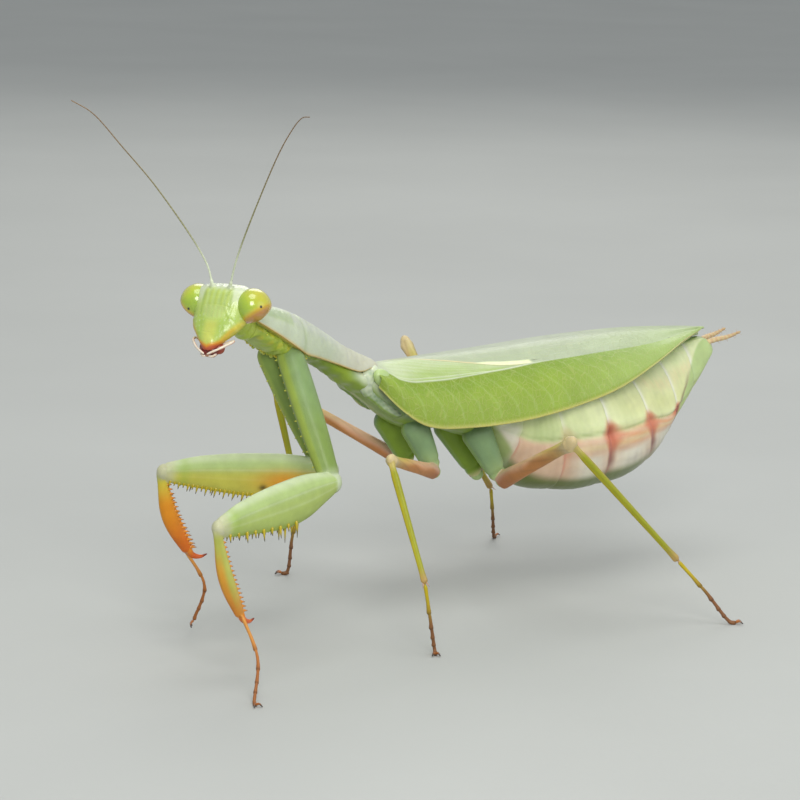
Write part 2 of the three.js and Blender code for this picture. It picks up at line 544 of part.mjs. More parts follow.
function makeForeLeg(name) {
  const leg = FORE_LEGS[name];
  const side = name.endsWith('left') ? 1 : -1;
  const hip = CHEST.at(FORE_HIP.along, side * FORE_HIP.beside, -FORE_HIP.under);
  const points = legPoints(hip, leg, FORE_SIZES.tarsus * 0.8);
  const [, elbow, knee, ankle] = points;
  const thigh = knee.clone().sub(elbow).normalize();
  const shank = ankle.clone().sub(knee).normalize();
  const inner = shank.clone().addScaledVector(thigh, -shank.dot(thigh)).normalize(); // where the femur's spines point
  const flat = thigh.clone().cross(inner);
  const grip = thigh.clone().negate().addScaledVector(shank, thigh.dot(shank)).normalize(); // the tibia's toothed side

  const coxaDepth = profile([[0, 1.0], [0.15, FORE_SIZES.coxa], [0.6, FORE_SIZES.coxa], [0.9, 1.15], [1, 0.95]]);
  const coxa = (grow) => limb(between(hip, elbow, 0, 0.9), thigh.clone().negate(),
    { half: (s) => 0.8 * coxaDepth(s), above: coxaDepth, below: (s) => coxaDepth(s) + 0.05 },
    { sides: 8, steps: 7, grow });

  const back = profile([[0, 0.95], [0.12, 1.5], [0.25, 1.85], [0.4, 1.95], [0.6, 1.9], [0.8, 1.65], [1, 0.95]]);
  const front = profile([[0, 0.95], [0.12, 1.6], [0.25, 2.3], [0.38, 2.55], [0.55, 2.35], [0.75, 1.75], [1, 0.95]]);
  const thickness = profile([[0, 0.85], [0.15, 1.05], [0.35, 1.15], [0.7, 0.9], [0.9, 0.75], [1, 0.7]]);
  const femurPath = between(elbow, knee, -0.3, 0.1);
  const femurCore = (grow) => limb(femurPath, inner.clone().negate(), { half: thickness, above: back, below: front },
    { sides: 8, steps: 8, grow });
  const onFemur = (sideways) => (share) => ({
    root: from(from(femurPath.getPointAt(share), inner, 0.86 * front(share)), flat, sideways * thickness(share)),
    out: inner,
  });
  const femur = (grow) => join([
    femurCore(grow),
    ...spineRow(onFemur(0.42), 7, 0.4, 0.9, 0.85, thigh.clone().multiplyScalar(0.15)),
    ...spineRow(onFemur(-0.42), 4, 0.46, 0.86, 1.0, thigh.clone().multiplyScalar(0.2)),
    ...spineRow(onFemur(0), 3, 0.36, 0.5, 1.5, thigh.clone().multiplyScalar(0.1)),
  ]);

  const shankSize = profile([[0, 0.62], [0.15, FORE_SIZES.tibia], [0.6, FORE_SIZES.tibia], [1, 0.5]]);
  const tibiaPath = between(knee, ankle, 0.2, 0);
  const tibiaCore = (grow) => limb(tibiaPath, grip.clone().negate(), { half: (s) => 0.75 * shankSize(s), above: shankSize },
    { sides: 8, steps: 7, grow });
  const onTibia = (share) => ({ root: from(tibiaPath.getPointAt(share), grip, 0.7 * shankSize(share)), out: grip });
  const hook = (grow) => limb(bent([from(ankle, shank, -0.7), from(from(ankle, shank, 0.7), grip, 0.35),
    from(from(ankle, shank, 1.35), grip, 1.75)]), grip,
  { half: profile([[0, 0.45], [0.7, 0.32], [1, 0.2]]), above: profile([[0, 0.45], [0.7, 0.32], [1, 0.2]]) },
  { sides: 6, steps: 5, grow });
  const tibia = (grow) => join([
    tibiaCore(grow), hook(grow), ...spineRow(onTibia, 7, 0.22, 0.88, 0.75, shank.clone().multiplyScalar(0.45)),
  ]);
  const aside = from(ankle, flat, 0.45 * side).addScaledVector(grip, -0.2);
  const foot = leg.tip ? [points[4], from(points[4], direction(leg.tip[1], leg.tip[2]), leg.tip[0])] : [points[4]];
  return { points, coxa, femur, tibia, tarsus: makeTarsus(aside, foot, leg.toe, FORE_SIZES.tarsus, leg.bow) };
}

// ---------------------------------------------------------------- the whole animal

const mantis = new THREE.Group();
mantis.name = 'mantis';

const legs = {};
for (const name of Object.keys(FORE_LEGS)) legs[name] = makeForeLeg(name);
for (const name of Object.keys(WALKING_LEGS)) legs[name] = makeWalkingLeg(name);
const hips = Object.values(legs).map((leg) => leg.coxa(GAP));

const eyes = [makeEye(1, GAP), makeEye(-1, GAP)];
const feelers = [makeAntenna(1, GAP), makeAntenna(-1, GAP)];
const neck = carve(makeNeck(), [makeHead(GAP), makePronotum(GAP), makeProsternum(GAP), ...eyes]);
mantis.add(meshOf('head', carve(makeHead(), [...eyes, ...feelers]), 'leaf', 0.35));
mantis.add(meshOf('mouthparts', makeMouthparts(), 'mouth', 0.35));
mantis.add(meshOf('eye_left', makeEye(1), 'eye', 0.15));
mantis.add(meshOf('eye_right', makeEye(-1), 'eye', 0.15));
mantis.add(meshOf('antenna_left', makeAntenna(1), 'feeler'));
mantis.add(meshOf('antenna_right', makeAntenna(-1), 'feeler'));
mantis.add(meshOf('neck', neck, 'leaf'));
mantis.add(meshOf('pronotum', makePronotum(), 'pale'));
mantis.add(meshOf('prosternum', carve(makeProsternum(), hips), 'olive'));

const forewings = [makeForewing(LEFT, GAP), makeForewing(RIGHT, GAP)];
const hindwings = [makeHindwing(LEFT, GAP), makeHindwing(RIGHT, GAP)];
const shield = makePronotum(GAP);
const thoraxTools = [shield, makeProsternum(GAP), ...forewings, ...hindwings, ...hips];
mantis.add(meshOf('mesothorax', carve(makeThorax(THORAX.front, THORAX.joint), thoraxTools), 'leaf'));
mantis.add(meshOf('metathorax', carve(makeThorax(THORAX.joint + GAP, THORAX.rear), thoraxTools), 'leaf'));

const waist = makeThorax(THORAX.joint, THORAX.rear, GAP);
ABDOMEN_JOINTS.slice(0, -1).forEach((start, i) => {
  const piece = carve(makeAbdomenSegment(start, ABDOMEN_JOINTS[i + 1]), [waist, ...hips, ...forewings, ...hindwings]);
  mantis.add(meshOf(`abdomen_${i + 1}`, piece, 'belly', 0.35));
});
mantis.add(meshOf('cercus_left', makeCercus(LEFT), 'tan'));
mantis.add(meshOf('cercus_right', makeCercus(RIGHT), 'tan'));

mantis.add(meshOf('forewing_left', carve(makeForewing(LEFT), [shield]), 'wing', 0.4));
mantis.add(meshOf('forewing_right', carve(makeForewing(RIGHT), [shield]), 'wing', 0.4));
mantis.add(meshOf('hindwing_left', makeHindwing(LEFT), 'pale', 0.4));
mantis.add(meshOf('hindwing_right', makeHindwing(RIGHT), 'pale', 0.4));

const SEGMENT_COLOURS = {
  fore: { coxa: 'leaf', femur: 'pale', tibia: 'orange', tarsus: 'tan' },
  mid: { coxa: 'leaf', femur: 'blush', tibia: 'olive', tarsus: 'tan' },
  hind: { coxa: 'leaf', femur: 'blush', tibia: 'olive', tarsus: 'tan' },
};
for (const [name, leg] of Object.entries(legs)) {
  const colours = SEGMENT_COLOURS[name.split('_')[0]];
  const cover = name.startsWith('fore') ? [shield] : forewings;
  mantis.add(meshOf(`coxa_${name}`, carve(leg.coxa(0), cover), colours.coxa));
  mantis.add(meshOf(`femur_${name}`, carve(leg.femur(0), [leg.coxa(GAP)]), colours.femur));
  mantis.add(meshOf(`tibia_${name}`, carve(leg.tibia(0), [leg.femur(GAP)]), colours.tibia));
  mantis.add(meshOf(`tarsus_${name}`, carve(leg.tarsus, [leg.tibia(GAP)]), colours.tarsus));
}

// The origin is under the middle of the whole animal, on the floor.
const extent = new THREE.Box3().setFromObject(mantis);
const middle = extent.getCenter(new THREE.Vector3());
mantis.position.set(-middle.x, -middle.y, -extent.min.z);

export default mantis;
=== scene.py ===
"""A still, life-size praying mantis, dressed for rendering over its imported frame.

Shapes are worked out in millimetres from named sizes and turned into metres when a mesh is made.
-X is forward, -Y is the animal's left and +Z is up, with the feet on the floor at z = 0.
Headings are degrees from forward, positive to the animal's left; a rise is degrees above level.
"""

from __future__ import annotations

import logging
from dataclasses import dataclass, field
from enum import Enum
from typing import Callable, ClassVar

import bpy
import numpy as np
from mathutils import Matrix, Vector
from mathutils.kdtree import KDTree

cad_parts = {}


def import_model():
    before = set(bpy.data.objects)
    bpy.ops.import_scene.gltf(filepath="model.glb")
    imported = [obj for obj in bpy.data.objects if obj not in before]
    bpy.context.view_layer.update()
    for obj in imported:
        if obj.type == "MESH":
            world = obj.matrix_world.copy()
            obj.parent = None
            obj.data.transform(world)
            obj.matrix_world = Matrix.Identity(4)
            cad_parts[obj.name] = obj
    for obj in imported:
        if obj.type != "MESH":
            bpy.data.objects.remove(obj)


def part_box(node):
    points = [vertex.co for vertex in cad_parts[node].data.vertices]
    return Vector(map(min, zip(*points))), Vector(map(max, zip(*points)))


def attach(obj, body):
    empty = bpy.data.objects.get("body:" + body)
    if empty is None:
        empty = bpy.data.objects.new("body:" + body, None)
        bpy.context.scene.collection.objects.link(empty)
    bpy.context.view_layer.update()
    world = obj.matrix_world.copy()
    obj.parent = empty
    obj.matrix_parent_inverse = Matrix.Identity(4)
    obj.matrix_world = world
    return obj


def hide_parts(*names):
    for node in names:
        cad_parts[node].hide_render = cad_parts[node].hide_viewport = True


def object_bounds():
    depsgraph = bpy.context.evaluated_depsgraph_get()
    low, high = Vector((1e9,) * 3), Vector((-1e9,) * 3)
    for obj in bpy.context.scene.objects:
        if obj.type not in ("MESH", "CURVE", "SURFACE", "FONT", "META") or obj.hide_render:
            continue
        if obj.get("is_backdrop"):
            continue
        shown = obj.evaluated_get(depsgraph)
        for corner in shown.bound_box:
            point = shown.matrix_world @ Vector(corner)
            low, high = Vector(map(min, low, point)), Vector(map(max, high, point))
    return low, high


Array = np.ndarray
Number = np.ndarray | float
Triple = tuple[float, float, float]
Node = bpy.types.Node
Piece = bpy.types.Object
Socket = bpy.types.NodeSocket

MM = 0.001
TURN = 2 * np.pi
UP = np.array([0.0, 0.0, 1.0])
LOG = logging.getLogger("mantis")


# ---------------- colours


class Tone(Enum):
    """The animal's colours, as plain sRGB values."""

    LEAF = (136, 162, 78)
    BRIGHT_LEAF = (146, 174, 66)
    YELLOW_GREEN = (168, 184, 74)
    OLIVE = (128, 146, 34)
    BLUE_GREEN = (126, 154, 116)
    GREY_GREEN = (190, 195, 180)
    PALE_GREEN = (176, 198, 132)
    WHITE_GREEN = (208, 216, 188)
    CREAM = (226, 212, 160)
    WHITE = (226, 226, 208)
    YELLOW = (206, 190, 60)
    ORANGE = (216, 132, 4)
    AMBER = (204, 140, 62)
    FLAME = (208, 88, 2)
    RUST = (168, 98, 34)
    PINK = (220, 178, 158)
    PEACH = (222, 156, 110)
    BLUSH = (206, 128, 108)
    RED = (178, 72, 48)
    DARK_RED = (112, 22, 12)
    PLUM = (104, 62, 66)
    STRAW = (198, 176, 108)
    MUSTARD = (184, 164, 18)
    BONE = (204, 184, 138)
    KNEE = (186, 186, 150)
    MILK = (240, 244, 198)
    WING_LEAF = (124, 152, 40)
    MOSS = (132, 158, 18)
    SALMON = (206, 122, 92)
    TAN = (190, 140, 108)
    BROWN = (128, 84, 48)
    DARK = (34, 24, 16)
    FEELER = (148, 146, 104)
    EYE = (168, 192, 52)
    FACE = (182, 202, 106)
    EYE_RIM = (198, 136, 70)
    BLACK = (10, 8, 6)

    @property
    def rgb(self) -> Array:
        """The colour in linear light."""
        value = np.array(self.value) / 255.0
        return np.where(value <= 0.04045, value / 12.92, ((value + 0.055) / 1.055) ** 2.4)


Colour = Array | Tone


def blend(first: Colour, second: Colour, amount: Number) -> Array:
    """Mixes two colours.

    Args:
        first: The colour, or colours, where the amount is 0.
        second: The colour, or colours, where it is 1.
        amount: How much of the second there is at each point.

    Returns:
        One colour for each point.
    """
    start = first.rgb if isinstance(first, Tone) else first
    end = second.rgb if isinstance(second, Tone) else second
    share = np.asarray(amount)[..., None]
    return start * (1 - share) + end * share


def paint(base: Colour, *layers: tuple[Colour, Number]) -> Array:
    """Lays tones over a colour, one after another.

    Args:
        base: The colour, or colours, underneath.
        layers: A tone and how much of it there is, for each layer.

    Returns:
        One colour for each point.
    """
    for tone, amount in layers:
        base = blend(base, tone, amount)
    return base


def ramp(x: Number, low: float, high: float) -> Array:
    """Rises smoothly from 0 at low to 1 at high; low may be the larger."""
    t = np.clip((np.asarray(x) - low) / (high - low), 0, 1)
    return t * t * (3 - 2 * t)


def bump(x: Number, centre: float, width: float) -> Array:
    """A soft hump of height 1, down to about a third at its width."""
    return np.exp(-(((np.asarray(x) - centre) / width) ** 2))


# ---------------- small geometry


class Profile:
    """A smooth curve through a few (position, value) pairs, level beyond its ends."""

    def __init__(self, *knots: tuple[float, float]) -> None:
        """Keeps the knots and works out a slope at each.

        Args:
            knots: Pairs of a position and a value.
        """
        self.x, self.y = np.array(knots, float).T
        before = np.maximum(np.arange(len(knots)) - 1, 0)
        after = np.minimum(np.arange(len(knots)) + 1, len(knots) - 1)
        self.slope = (self.y[after] - self.y[before]) / (self.x[after] - self.x[before])

    def __call__(self, where: Number) -> Array:
        """Reads the curve.

        Args:
            where: One or more positions.

        Returns:
            The value at each.
        """
        x = np.clip(np.asarray(where, float), self.x[0], self.x[-1])
        i = np.clip(np.searchsorted(self.x, x, side="right") - 1, 0, len(self.x) - 2)
        span = self.x[i + 1] - self.x[i]
        t = (x - self.x[i]) / span
        near = self.y[i] * (1 + 2 * t) * (1 - t) ** 2 + self.slope[i] * span * t * (1 - t) ** 2
        far = self.y[i + 1] * t * t * (3 - 2 * t) - self.slope[i + 1] * span * t * t * (1 - t)
        return near + far

    def scaled(self, factor: float) -> Profile:
        """The same curve with every value multiplied."""
        return Profile(*zip(self.x, self.y * factor))


def angles(count: int) -> Array:
    """One row of radians, evenly spaced round a ring."""
    return TURN * np.arange(count)[None, :] / count


def eased(count: int) -> Array:
    """One column of shares from 0 to 1, closer together near both ends."""
    return (0.5 - 0.5 * np.cos(np.pi * (np.arange(count) + 0.5) / count))[:, None]


def evenly(start: float, reach: float, count: int) -> list[float]:
    """Evenly spaced places, from a start to a reach beyond it."""
    return [start + reach * number / (count - 1) for number in range(count)]


def rounded(share: Array) -> Array:
    """A quarter circle that rises from 0 to 1 and then stays level."""
    return np.sqrt(1 - (1 - np.clip(share, 0, 1)) ** 2)


def part_of(joints: tuple[float, ...], share: Array) -> Array:
    """How far along its own joint each share lies.

    Args:
        joints: The shares where the joints start and end.
        share: Shares of the whole length.

    Returns:
        Values from 0 to 1.
    """
    ends = np.array(joints)
    number = np.clip(np.searchsorted(ends, share, side="right") - 1, 0, len(ends) - 2)
    return (share - ends[number]) / (ends[number + 1] - ends[number])


def unit(vectors: Array) -> Array:
    """Vectors of the same direction and length 1."""
    return vectors / np.linalg.norm(vectors, axis=-1, keepdims=True)


def direction(heading: float, rise: float) -> Array:
    """A vector of length 1 from a heading and a rise, both in degrees."""
    turn, lift = np.radians(heading), np.radians(rise)
    return np.array([-np.cos(turn) * np.cos(lift), -np.sin(turn) * np.cos(lift), np.sin(lift)])


@dataclass(frozen=True)
class Axes:
    """A place on the body with its own left, up and forward."""

    origin: Array
    left: Array
    up: Array
    forward: Array

    @property
    def ball_axes(self) -> tuple[Array, Array, Array]:
        """Left, forward and up, for a ball whose poles are above and below."""
        return self.left, self.forward, self.up

    @classmethod
    def aimed(cls, origin: Triple, heading: float, rise: float) -> Axes:
        """Axes that look along a heading and a rise, with left kept level.

        Args:
            origin: Where they are.
            heading: Degrees from forward, positive to the animal's left.
            rise: Degrees above level.

        Returns:
            The axes.
        """
        forward = direction(heading, rise)
        left = unit(np.cross(UP, forward))
        return cls(np.array(origin, float), left, np.cross(forward, left), forward)

    def at(self, sideways: Number, height: Number, depth: Number) -> Array:
        """Points by their distance to the left, up and forward."""
        a, b, c = np.broadcast_arrays(sideways, height, depth)
        return self.origin + a[..., None] * self.left + b[..., None] * self.up + c[..., None] * self.forward


class Path:
    """A smooth path through a few points, measured by share of its length."""

    SAMPLES = 400

    def __init__(self, *stops: Array) -> None:
        """Samples a spline through the stops, its knots spaced by the root of their distance.

        Args:
            stops: The points that it passes through.
        """
        stops = np.array(stops, float)
        self.dense = self.spline(stops, np.linspace(0, 1, self.SAMPLES))
        steps = np.linalg.norm(np.diff(self.dense, axis=0), axis=1)
        self.reach = np.concatenate([[0], np.cumsum(steps)])
        self.length = float(self.reach[-1])

    @staticmethod
    def spline(stops: Array, where: Array) -> Array:
        """Reads a centripetal spline.

        Args:
            stops: The points that it passes through.
            where: Positions from 0 to 1, with the stops evenly spaced.

        Returns:
            One point for each position.
        """
        if len(stops) == 2:
            return stops[0] + (stops[1] - stops[0]) * where[:, None]
        padded = np.concatenate([[2 * stops[0] - stops[1]], stops, [2 * stops[-1] - stops[-2]]])
        place = where * (len(stops) - 1)
        i = np.minimum(place.astype(int), len(stops) - 2)
        t = (place - i)[:, None]
        p0, p1, p2, p3 = (padded[i + k] for k in range(4))
        d0, d1, d2 = (np.sqrt(np.linalg.norm(b - a, axis=1))[:, None]
            for a, b in ((p0, p1), (p1, p2), (p2, p3)))
        slope1 = ((p1 - p0) / d0 - (p2 - p0) / (d0 + d1) + (p2 - p1) / d1) * d1
        slope2 = ((p2 - p1) / d1 - (p3 - p1) / (d1 + d2) + (p3 - p2) / d2) * d1
        near = p1 * (1 + 2 * t) * (1 - t) ** 2 + slope1 * t * (1 - t) ** 2
        return near + p2 * t * t * (3 - 2 * t) - slope2 * t * t * (1 - t)

    def point(self, share: Number) -> Array:
        """Points at shares of the length, from 0 to 1."""
        where = np.asarray(share) * self.length
        return np.stack([np.interp(where, self.reach, self.dense[:, k]) for k in range(3)], axis=-1)

    def tangent(self, share: Number) -> Array:
        """The path's direction at shares of its length.

        Args:
            share: From 0 at the start to 1 at the end.

        Returns:
            One vector of length 1 for each.
        """
        near = np.clip(np.asarray(share) - 0.005, 0, 1)
        far = np.clip(np.asarray(share) + 0.005, 0, 1)
        return unit(self.point(far) - self.point(near))


def oval(angle: Array, half: Array, above: Array, below: Array, power: float = 1.0) -> tuple[Array, Array]:
    """An oval with its own reach to the sides, above and below.

    Args:
        angle: Radians round the oval, from its side towards its top.
        half: Reach to each side.
        above: Reach upward.
        below: Reach downward.
        power: Over 1 it is more of a diamond, under 1 more of a box.

    Returns:
        The sideways and the upward distance at each angle.
    """
    across = np.sign(np.cos(angle)) * np.abs(np.cos(angle)) ** power
    rise = np.sign(np.sin(angle)) * np.abs(np.sin(angle)) ** power
    return half * across, np.where(rise > 0, above, below) * rise


@dataclass
class Sweep:
    """Rings along a path, with the share and the angle of every point."""

    rings: Array
    share: Array
    angle: Array
    path: Path

    @property
    def rise(self) -> Array:
        """From -1 under the path to 1 above it."""
        return np.sin(self.angle) + 0 * self.share

    @property
    def across(self) -> Array:
        """From -1 on one side of the path to 1 on the other."""
        return np.cos(self.angle) + 0 * self.share


def sweep(
    path: Path,
    back: Array,
    half: Profile,
    above: Profile,
    below: Profile | None = None,
    *,
    sides: int = 20,
    steps: int = 40,
    power: float = 1.0,
    relief: Callable[[Array, Array], Array] | None = None,
) -> Sweep:
    """Sweeps an oval along a path, with rounded ends.

    Args:
        path: The middle of the limb.
        back: The side that the rings call up.
        half: Reach to each side by share of the length.
        above: Reach upward.
        below: Reach downward, or the same as above.
        sides: Points round each ring.
        steps: Number of rings.
        power: The oval's power.
        relief: Extra reach from a share and an angle.

    Returns:
        The rings and where each of their points is.
    """
    share, angle = eased(steps), angles(sides)
    tangent = path.tangent(share[:, 0])
    up = unit(back - tangent * (tangent @ back)[:, None])
    side = np.cross(tangent, up)
    end = np.minimum(share, 1 - share) * path.length
    taper = rounded(end / half(share))
    lower = below or above
    across, rise = oval(angle, half(share) * taper, above(share) * taper, lower(share) * taper, power)
    if relief is not None:
        more = 1 + taper * relief(share, angle) / np.maximum(np.hypot(across, rise), 0.05)
        across, rise = across * more, rise * more
    rings = (path.point(share[:, 0])[:, None] + across[..., None] * side[:, None] + rise[..., None]
        * up[:, None])
    return Sweep(rings, share, angle, path)


# ---------------- finishes


@dataclass(frozen=True)
class Finish:
    """How a surface takes the light. The colour comes from the mesh's own tints."""

    name: str
    roughness: float = 0.38
    coat: float = 0.25
    coat_roughness: float = 0.18
    depth: float = 0.12
    mottle: float = 0.14
    mottle_size: float = 1.6
    grain_size: float = 0.16
    grain_depth: float = 0.012
    ripple_size: float = 0.9
    ripple_depth: float = 0.03
    specular: float = 0.5

    FLESH_DEPTH: ClassVar[float] = 0.3
    FLESH_COLOURS: ClassVar[Triple] = (1.0, 0.9, 0.35)

    def material(self) -> bpy.types.Material:
        """Makes the finish's material, or finds the one that was made before.

        Returns:
            The material.
        """
        made = bpy.data.materials.get(self.name)
        if made is not None:
            return made
        material = bpy.data.materials.new(self.name)
        material.use_nodes = True
        shader = material.node_tree.nodes["Principled BSDF"]
        settings = {
            "Roughness": self.roughness,
            "Coat Weight": self.coat,
            "Coat Roughness": self.coat_roughness,
            "Specular IOR Level": self.specular,
            "Subsurface Weight": self.depth,
            "Subsurface Scale": self.FLESH_DEPTH * MM,
            "Subsurface Radius": self.FLESH_COLOURS,
        }
        for key, value in settings.items():
            shader.inputs[key].default_value = value
        self.paint(Weave(material), shader)
        return material

    def paint(self, weave: Weave, shader: Node) -> None:
        """Joins the tints, mottling and fine relief to the shader."""
        weave.link(self.mottled(weave, weave.read("tint")), shader.inputs["Base Color"])
        weave.link(self.relief(weave), shader.inputs["Normal"])

    def mottled(self, weave: Weave, tint: Node) -> Socket:
        """The mesh's tints under soft cloudy shading.

        Args:
            weave: Adds the nodes.
            tint: Reads the tints.

        Returns:
            The colour's socket.
        """
        cloud = weave.noise(self.mottle_size, 4.0)
        shade = weave.remap(cloud, 0.3, 0.7, 1 - self.mottle, 1 + self.mottle)
        return weave.scale(tint.outputs["Color"], shade)

    def relief(self, weave: Weave) -> Socket:
        """Fine pitting over a soft ripple, as a bent normal."""
        soft = weave.bump(weave.noise(self.ripple_size, 3.0), self.ripple_depth)
        return weave.bump(weave.cells(self.grain_size), self.grain_depth, soft)


class Weave:
    """Adds nodes to one material, with sizes in millimetres."""

    def __init__(self, material: bpy.types.Material) -> None:
        """Starts with the place of each point of the object."""
        self.tree = material.node_tree
        self.place = self.add("ShaderNodeTexCoord", {}).outputs["Object"]

    def link(self, start: Socket, end: Socket) -> None:
        """Joins two sockets."""
        self.tree.links.new(start, end)

    def add(self, kind: str, inputs: dict[str | int, object], **settings: object) -> Node:
        """Adds a node.

        Args:
            kind: The node's type.
            inputs: Values of its inputs, or the sockets that feed them.
            settings: Properties to set on it first.

        Returns:
            The node.
        """
        node = self.tree.nodes.new(kind)
        for key, value in settings.items():
            setattr(node, key, value)
        for key, value in inputs.items():
            if isinstance(value, Socket):
                self.link(value, node.inputs[key])
            else:
                node.inputs[key].default_value = value
        return node

    def read(self, name: str) -> Node:
        """Reads one of the mesh's attributes."""
        return self.add("ShaderNodeAttribute", {}, attribute_name=name)

    def noise(self, size: float, detail: float) -> Socket:
        """Cloudy noise with lumps of about a size."""
        inputs = {"Scale": 1 / (size * MM), "Detail": detail, "Vector": self.place}
        return self.add("ShaderNodeTexNoise", inputs).outputs["Fac"]

    def cells(self, size: float) -> Socket:
        """Distance from the middles of cells of about a size."""
        inputs = {"Scale": 1 / (size * MM), "Vector": self.place}
        return self.add("ShaderNodeTexVoronoi", inputs, feature="F1").outputs["Distance"]

    def net(self, size: float, chart: Socket) -> Socket:
        """Distance from the edges of cells of about a size, laid out on a chart."""
        inputs = {"Scale": 1 / size, "Vector": chart}
        return self.add("ShaderNodeTexVoronoi", inputs, feature="DISTANCE_TO_EDGE").outputs["Distance"]

    def remap(self, value: Socket, low: float, high: float, to_low: float, to_high: float) -> Socket:
        """Maps one range of numbers onto another, without going past it."""
        inputs = {"Value": value, "From Min": low, "From Max": high, "To Min": to_low, "To Max": to_high}
        return self.add("ShaderNodeMapRange", inputs).outputs["Result"]

    def scale(self, colour: Socket, amount: Socket) -> Socket:
        """Multiplies a colour by a number."""
        inputs = {0: colour, "Scale": amount}
        return self.add("ShaderNodeVectorMath", inputs, operation="SCALE").outputs["Vector"]

    def product(self, first: Socket, second: Socket) -> Socket:
        """Multiplies two numbers."""
        return self.add("ShaderNodeMath", {0: first, 1: second}, operation="MULTIPLY").outputs["Value"]

    def mix(self, amount: Socket, first: Socket, second: Tone) -> Socket:
        """Covers a colour with a named tone, by an amount."""
        inputs = {"Factor": amount, "A": first, "B": (*second.rgb, 1)}
        return self.add("ShaderNodeMix", inputs, data_type="RGBA").outputs["Result"]

    def bump(self, height: Socket, depth: float, below: Socket | None = None) -> Socket:
        """Bends the normal by a height.

        Args:
            height: From 0 to 1.
            depth: How many millimetres 1 stands for.
            below: A bent normal that this adds to.

        Returns:
            The normal's socket.
        """
        inputs = {"Distance": depth * MM, "Height": height}
        if below is not None:
            inputs["Normal"] = below
        return self.add("ShaderNodeBump", inputs).outputs["Normal"]


@dataclass(frozen=True)
class WingFinish(Finish):
    """Leathery wing with a net of fine veins, drawn on the wing's own chart."""

    net_size: float = 0.62
    net_width: float = 0.06
    net_depth: float = 0.02

    def paint(self, weave: Weave, shader: Node) -> None:
        """Lays the net of veins over the tints.

        Args:
            weave: Adds the nodes.
            shader: The material's main shader.
        """
        tint, chart = weave.read("tint"), weave.read("chart").outputs["Vector"]
        vein = weave.remap(weave.net(self.net_size, chart), 0.0, self.net_width, 1.0, 0.0)
        veinlet = weave.remap(weave.net(0.42 * self.net_size, chart), 0.0, 2 * self.net_width, 0.35, 0.0)
        half_vein = weave.product(weave.remap(vein, 0, 1, 0, 0.5), tint.outputs["Alpha"])
        colour = weave.mix(half_vein, self.mottled(weave, tint), Tone.CREAM)
        colour = weave.mix(weave.product(veinlet, tint.outputs["Alpha"]), colour, Tone.PALE_GREEN)
        weave.link(colour, shader.inputs["Base Color"])
        normal = weave.bump(weave.noise(self.ripple_size, 3.0), self.ripple_depth)
        normal = weave.bump(veinlet, 0.6 * self.net_depth, normal)
        weave.link(weave.bump(vein, self.net_depth, normal), shader.inputs["Normal"])


PLATE = Finish("shield cuticle", roughness=0.42, coat=0.12, mottle=0.09, grain_size=0.22, grain_depth=0.016)
BELLY = Finish("stretched skin", roughness=0.42, coat=0.35, coat_roughness=0.12, depth=0.15, specular=0.35,
    mottle=0.07, grain_size=0.3, grain_depth=0.008, ripple_size=1.3, ripple_depth=0.05)
FACE = Finish("face cuticle", roughness=0.36, coat=0.3, coat_roughness=0.16, depth=0.16, mottle=0.1,
    grain_size=0.12, grain_depth=0.008, ripple_size=0.5, ripple_depth=0.02)
EYE = Finish("compound eye", roughness=0.22, coat=0.8, coat_roughness=0.1, depth=0.25, mottle=0.05,
    grain_size=0.045, grain_depth=0.0015, ripple_size=2.0, ripple_depth=0.0)
HORN = Finish("claw horn", roughness=0.28, coat=0.4, depth=0.05, mottle=0.1, grain_depth=0.004,
    ripple_depth=0.005)
LIMB = Finish("leg cuticle", roughness=0.46, coat=0.08, specular=0.35, mottle=0.07, mottle_size=1.4,
    grain_size=0.14, ripple_depth=0.02)
FEELER = Finish("feeler", roughness=0.5, coat=0.0, depth=0.0, mottle=0.1, ripple_depth=0.0)
WING = WingFinish("wing leather", roughness=0.42, coat=0.1, coat_roughness=0.2, depth=0.06, specular=0.35,
    mottle=0.07, mottle_size=2.4, ripple_size=1.8, ripple_depth=0.06)


# ---------------- meshes


class Side(Enum):
    """A side of the animal, with the sign that its own left axis takes."""

    LEFT = 1
    RIGHT = -1

    @property
    def word(self) -> str:
        """The side's name in a node."""
        return self.name.lower()


def placed(name: str, data: bpy.types.ID) -> Piece:
    """Puts a mesh, a light or a camera into the scene.

    Args:
        name: The new object's name.
        data: What it shows.

    Returns:
        The object.
    """
    piece = bpy.data.objects.new(name, data)
    bpy.context.collection.objects.link(piece)
    return piece


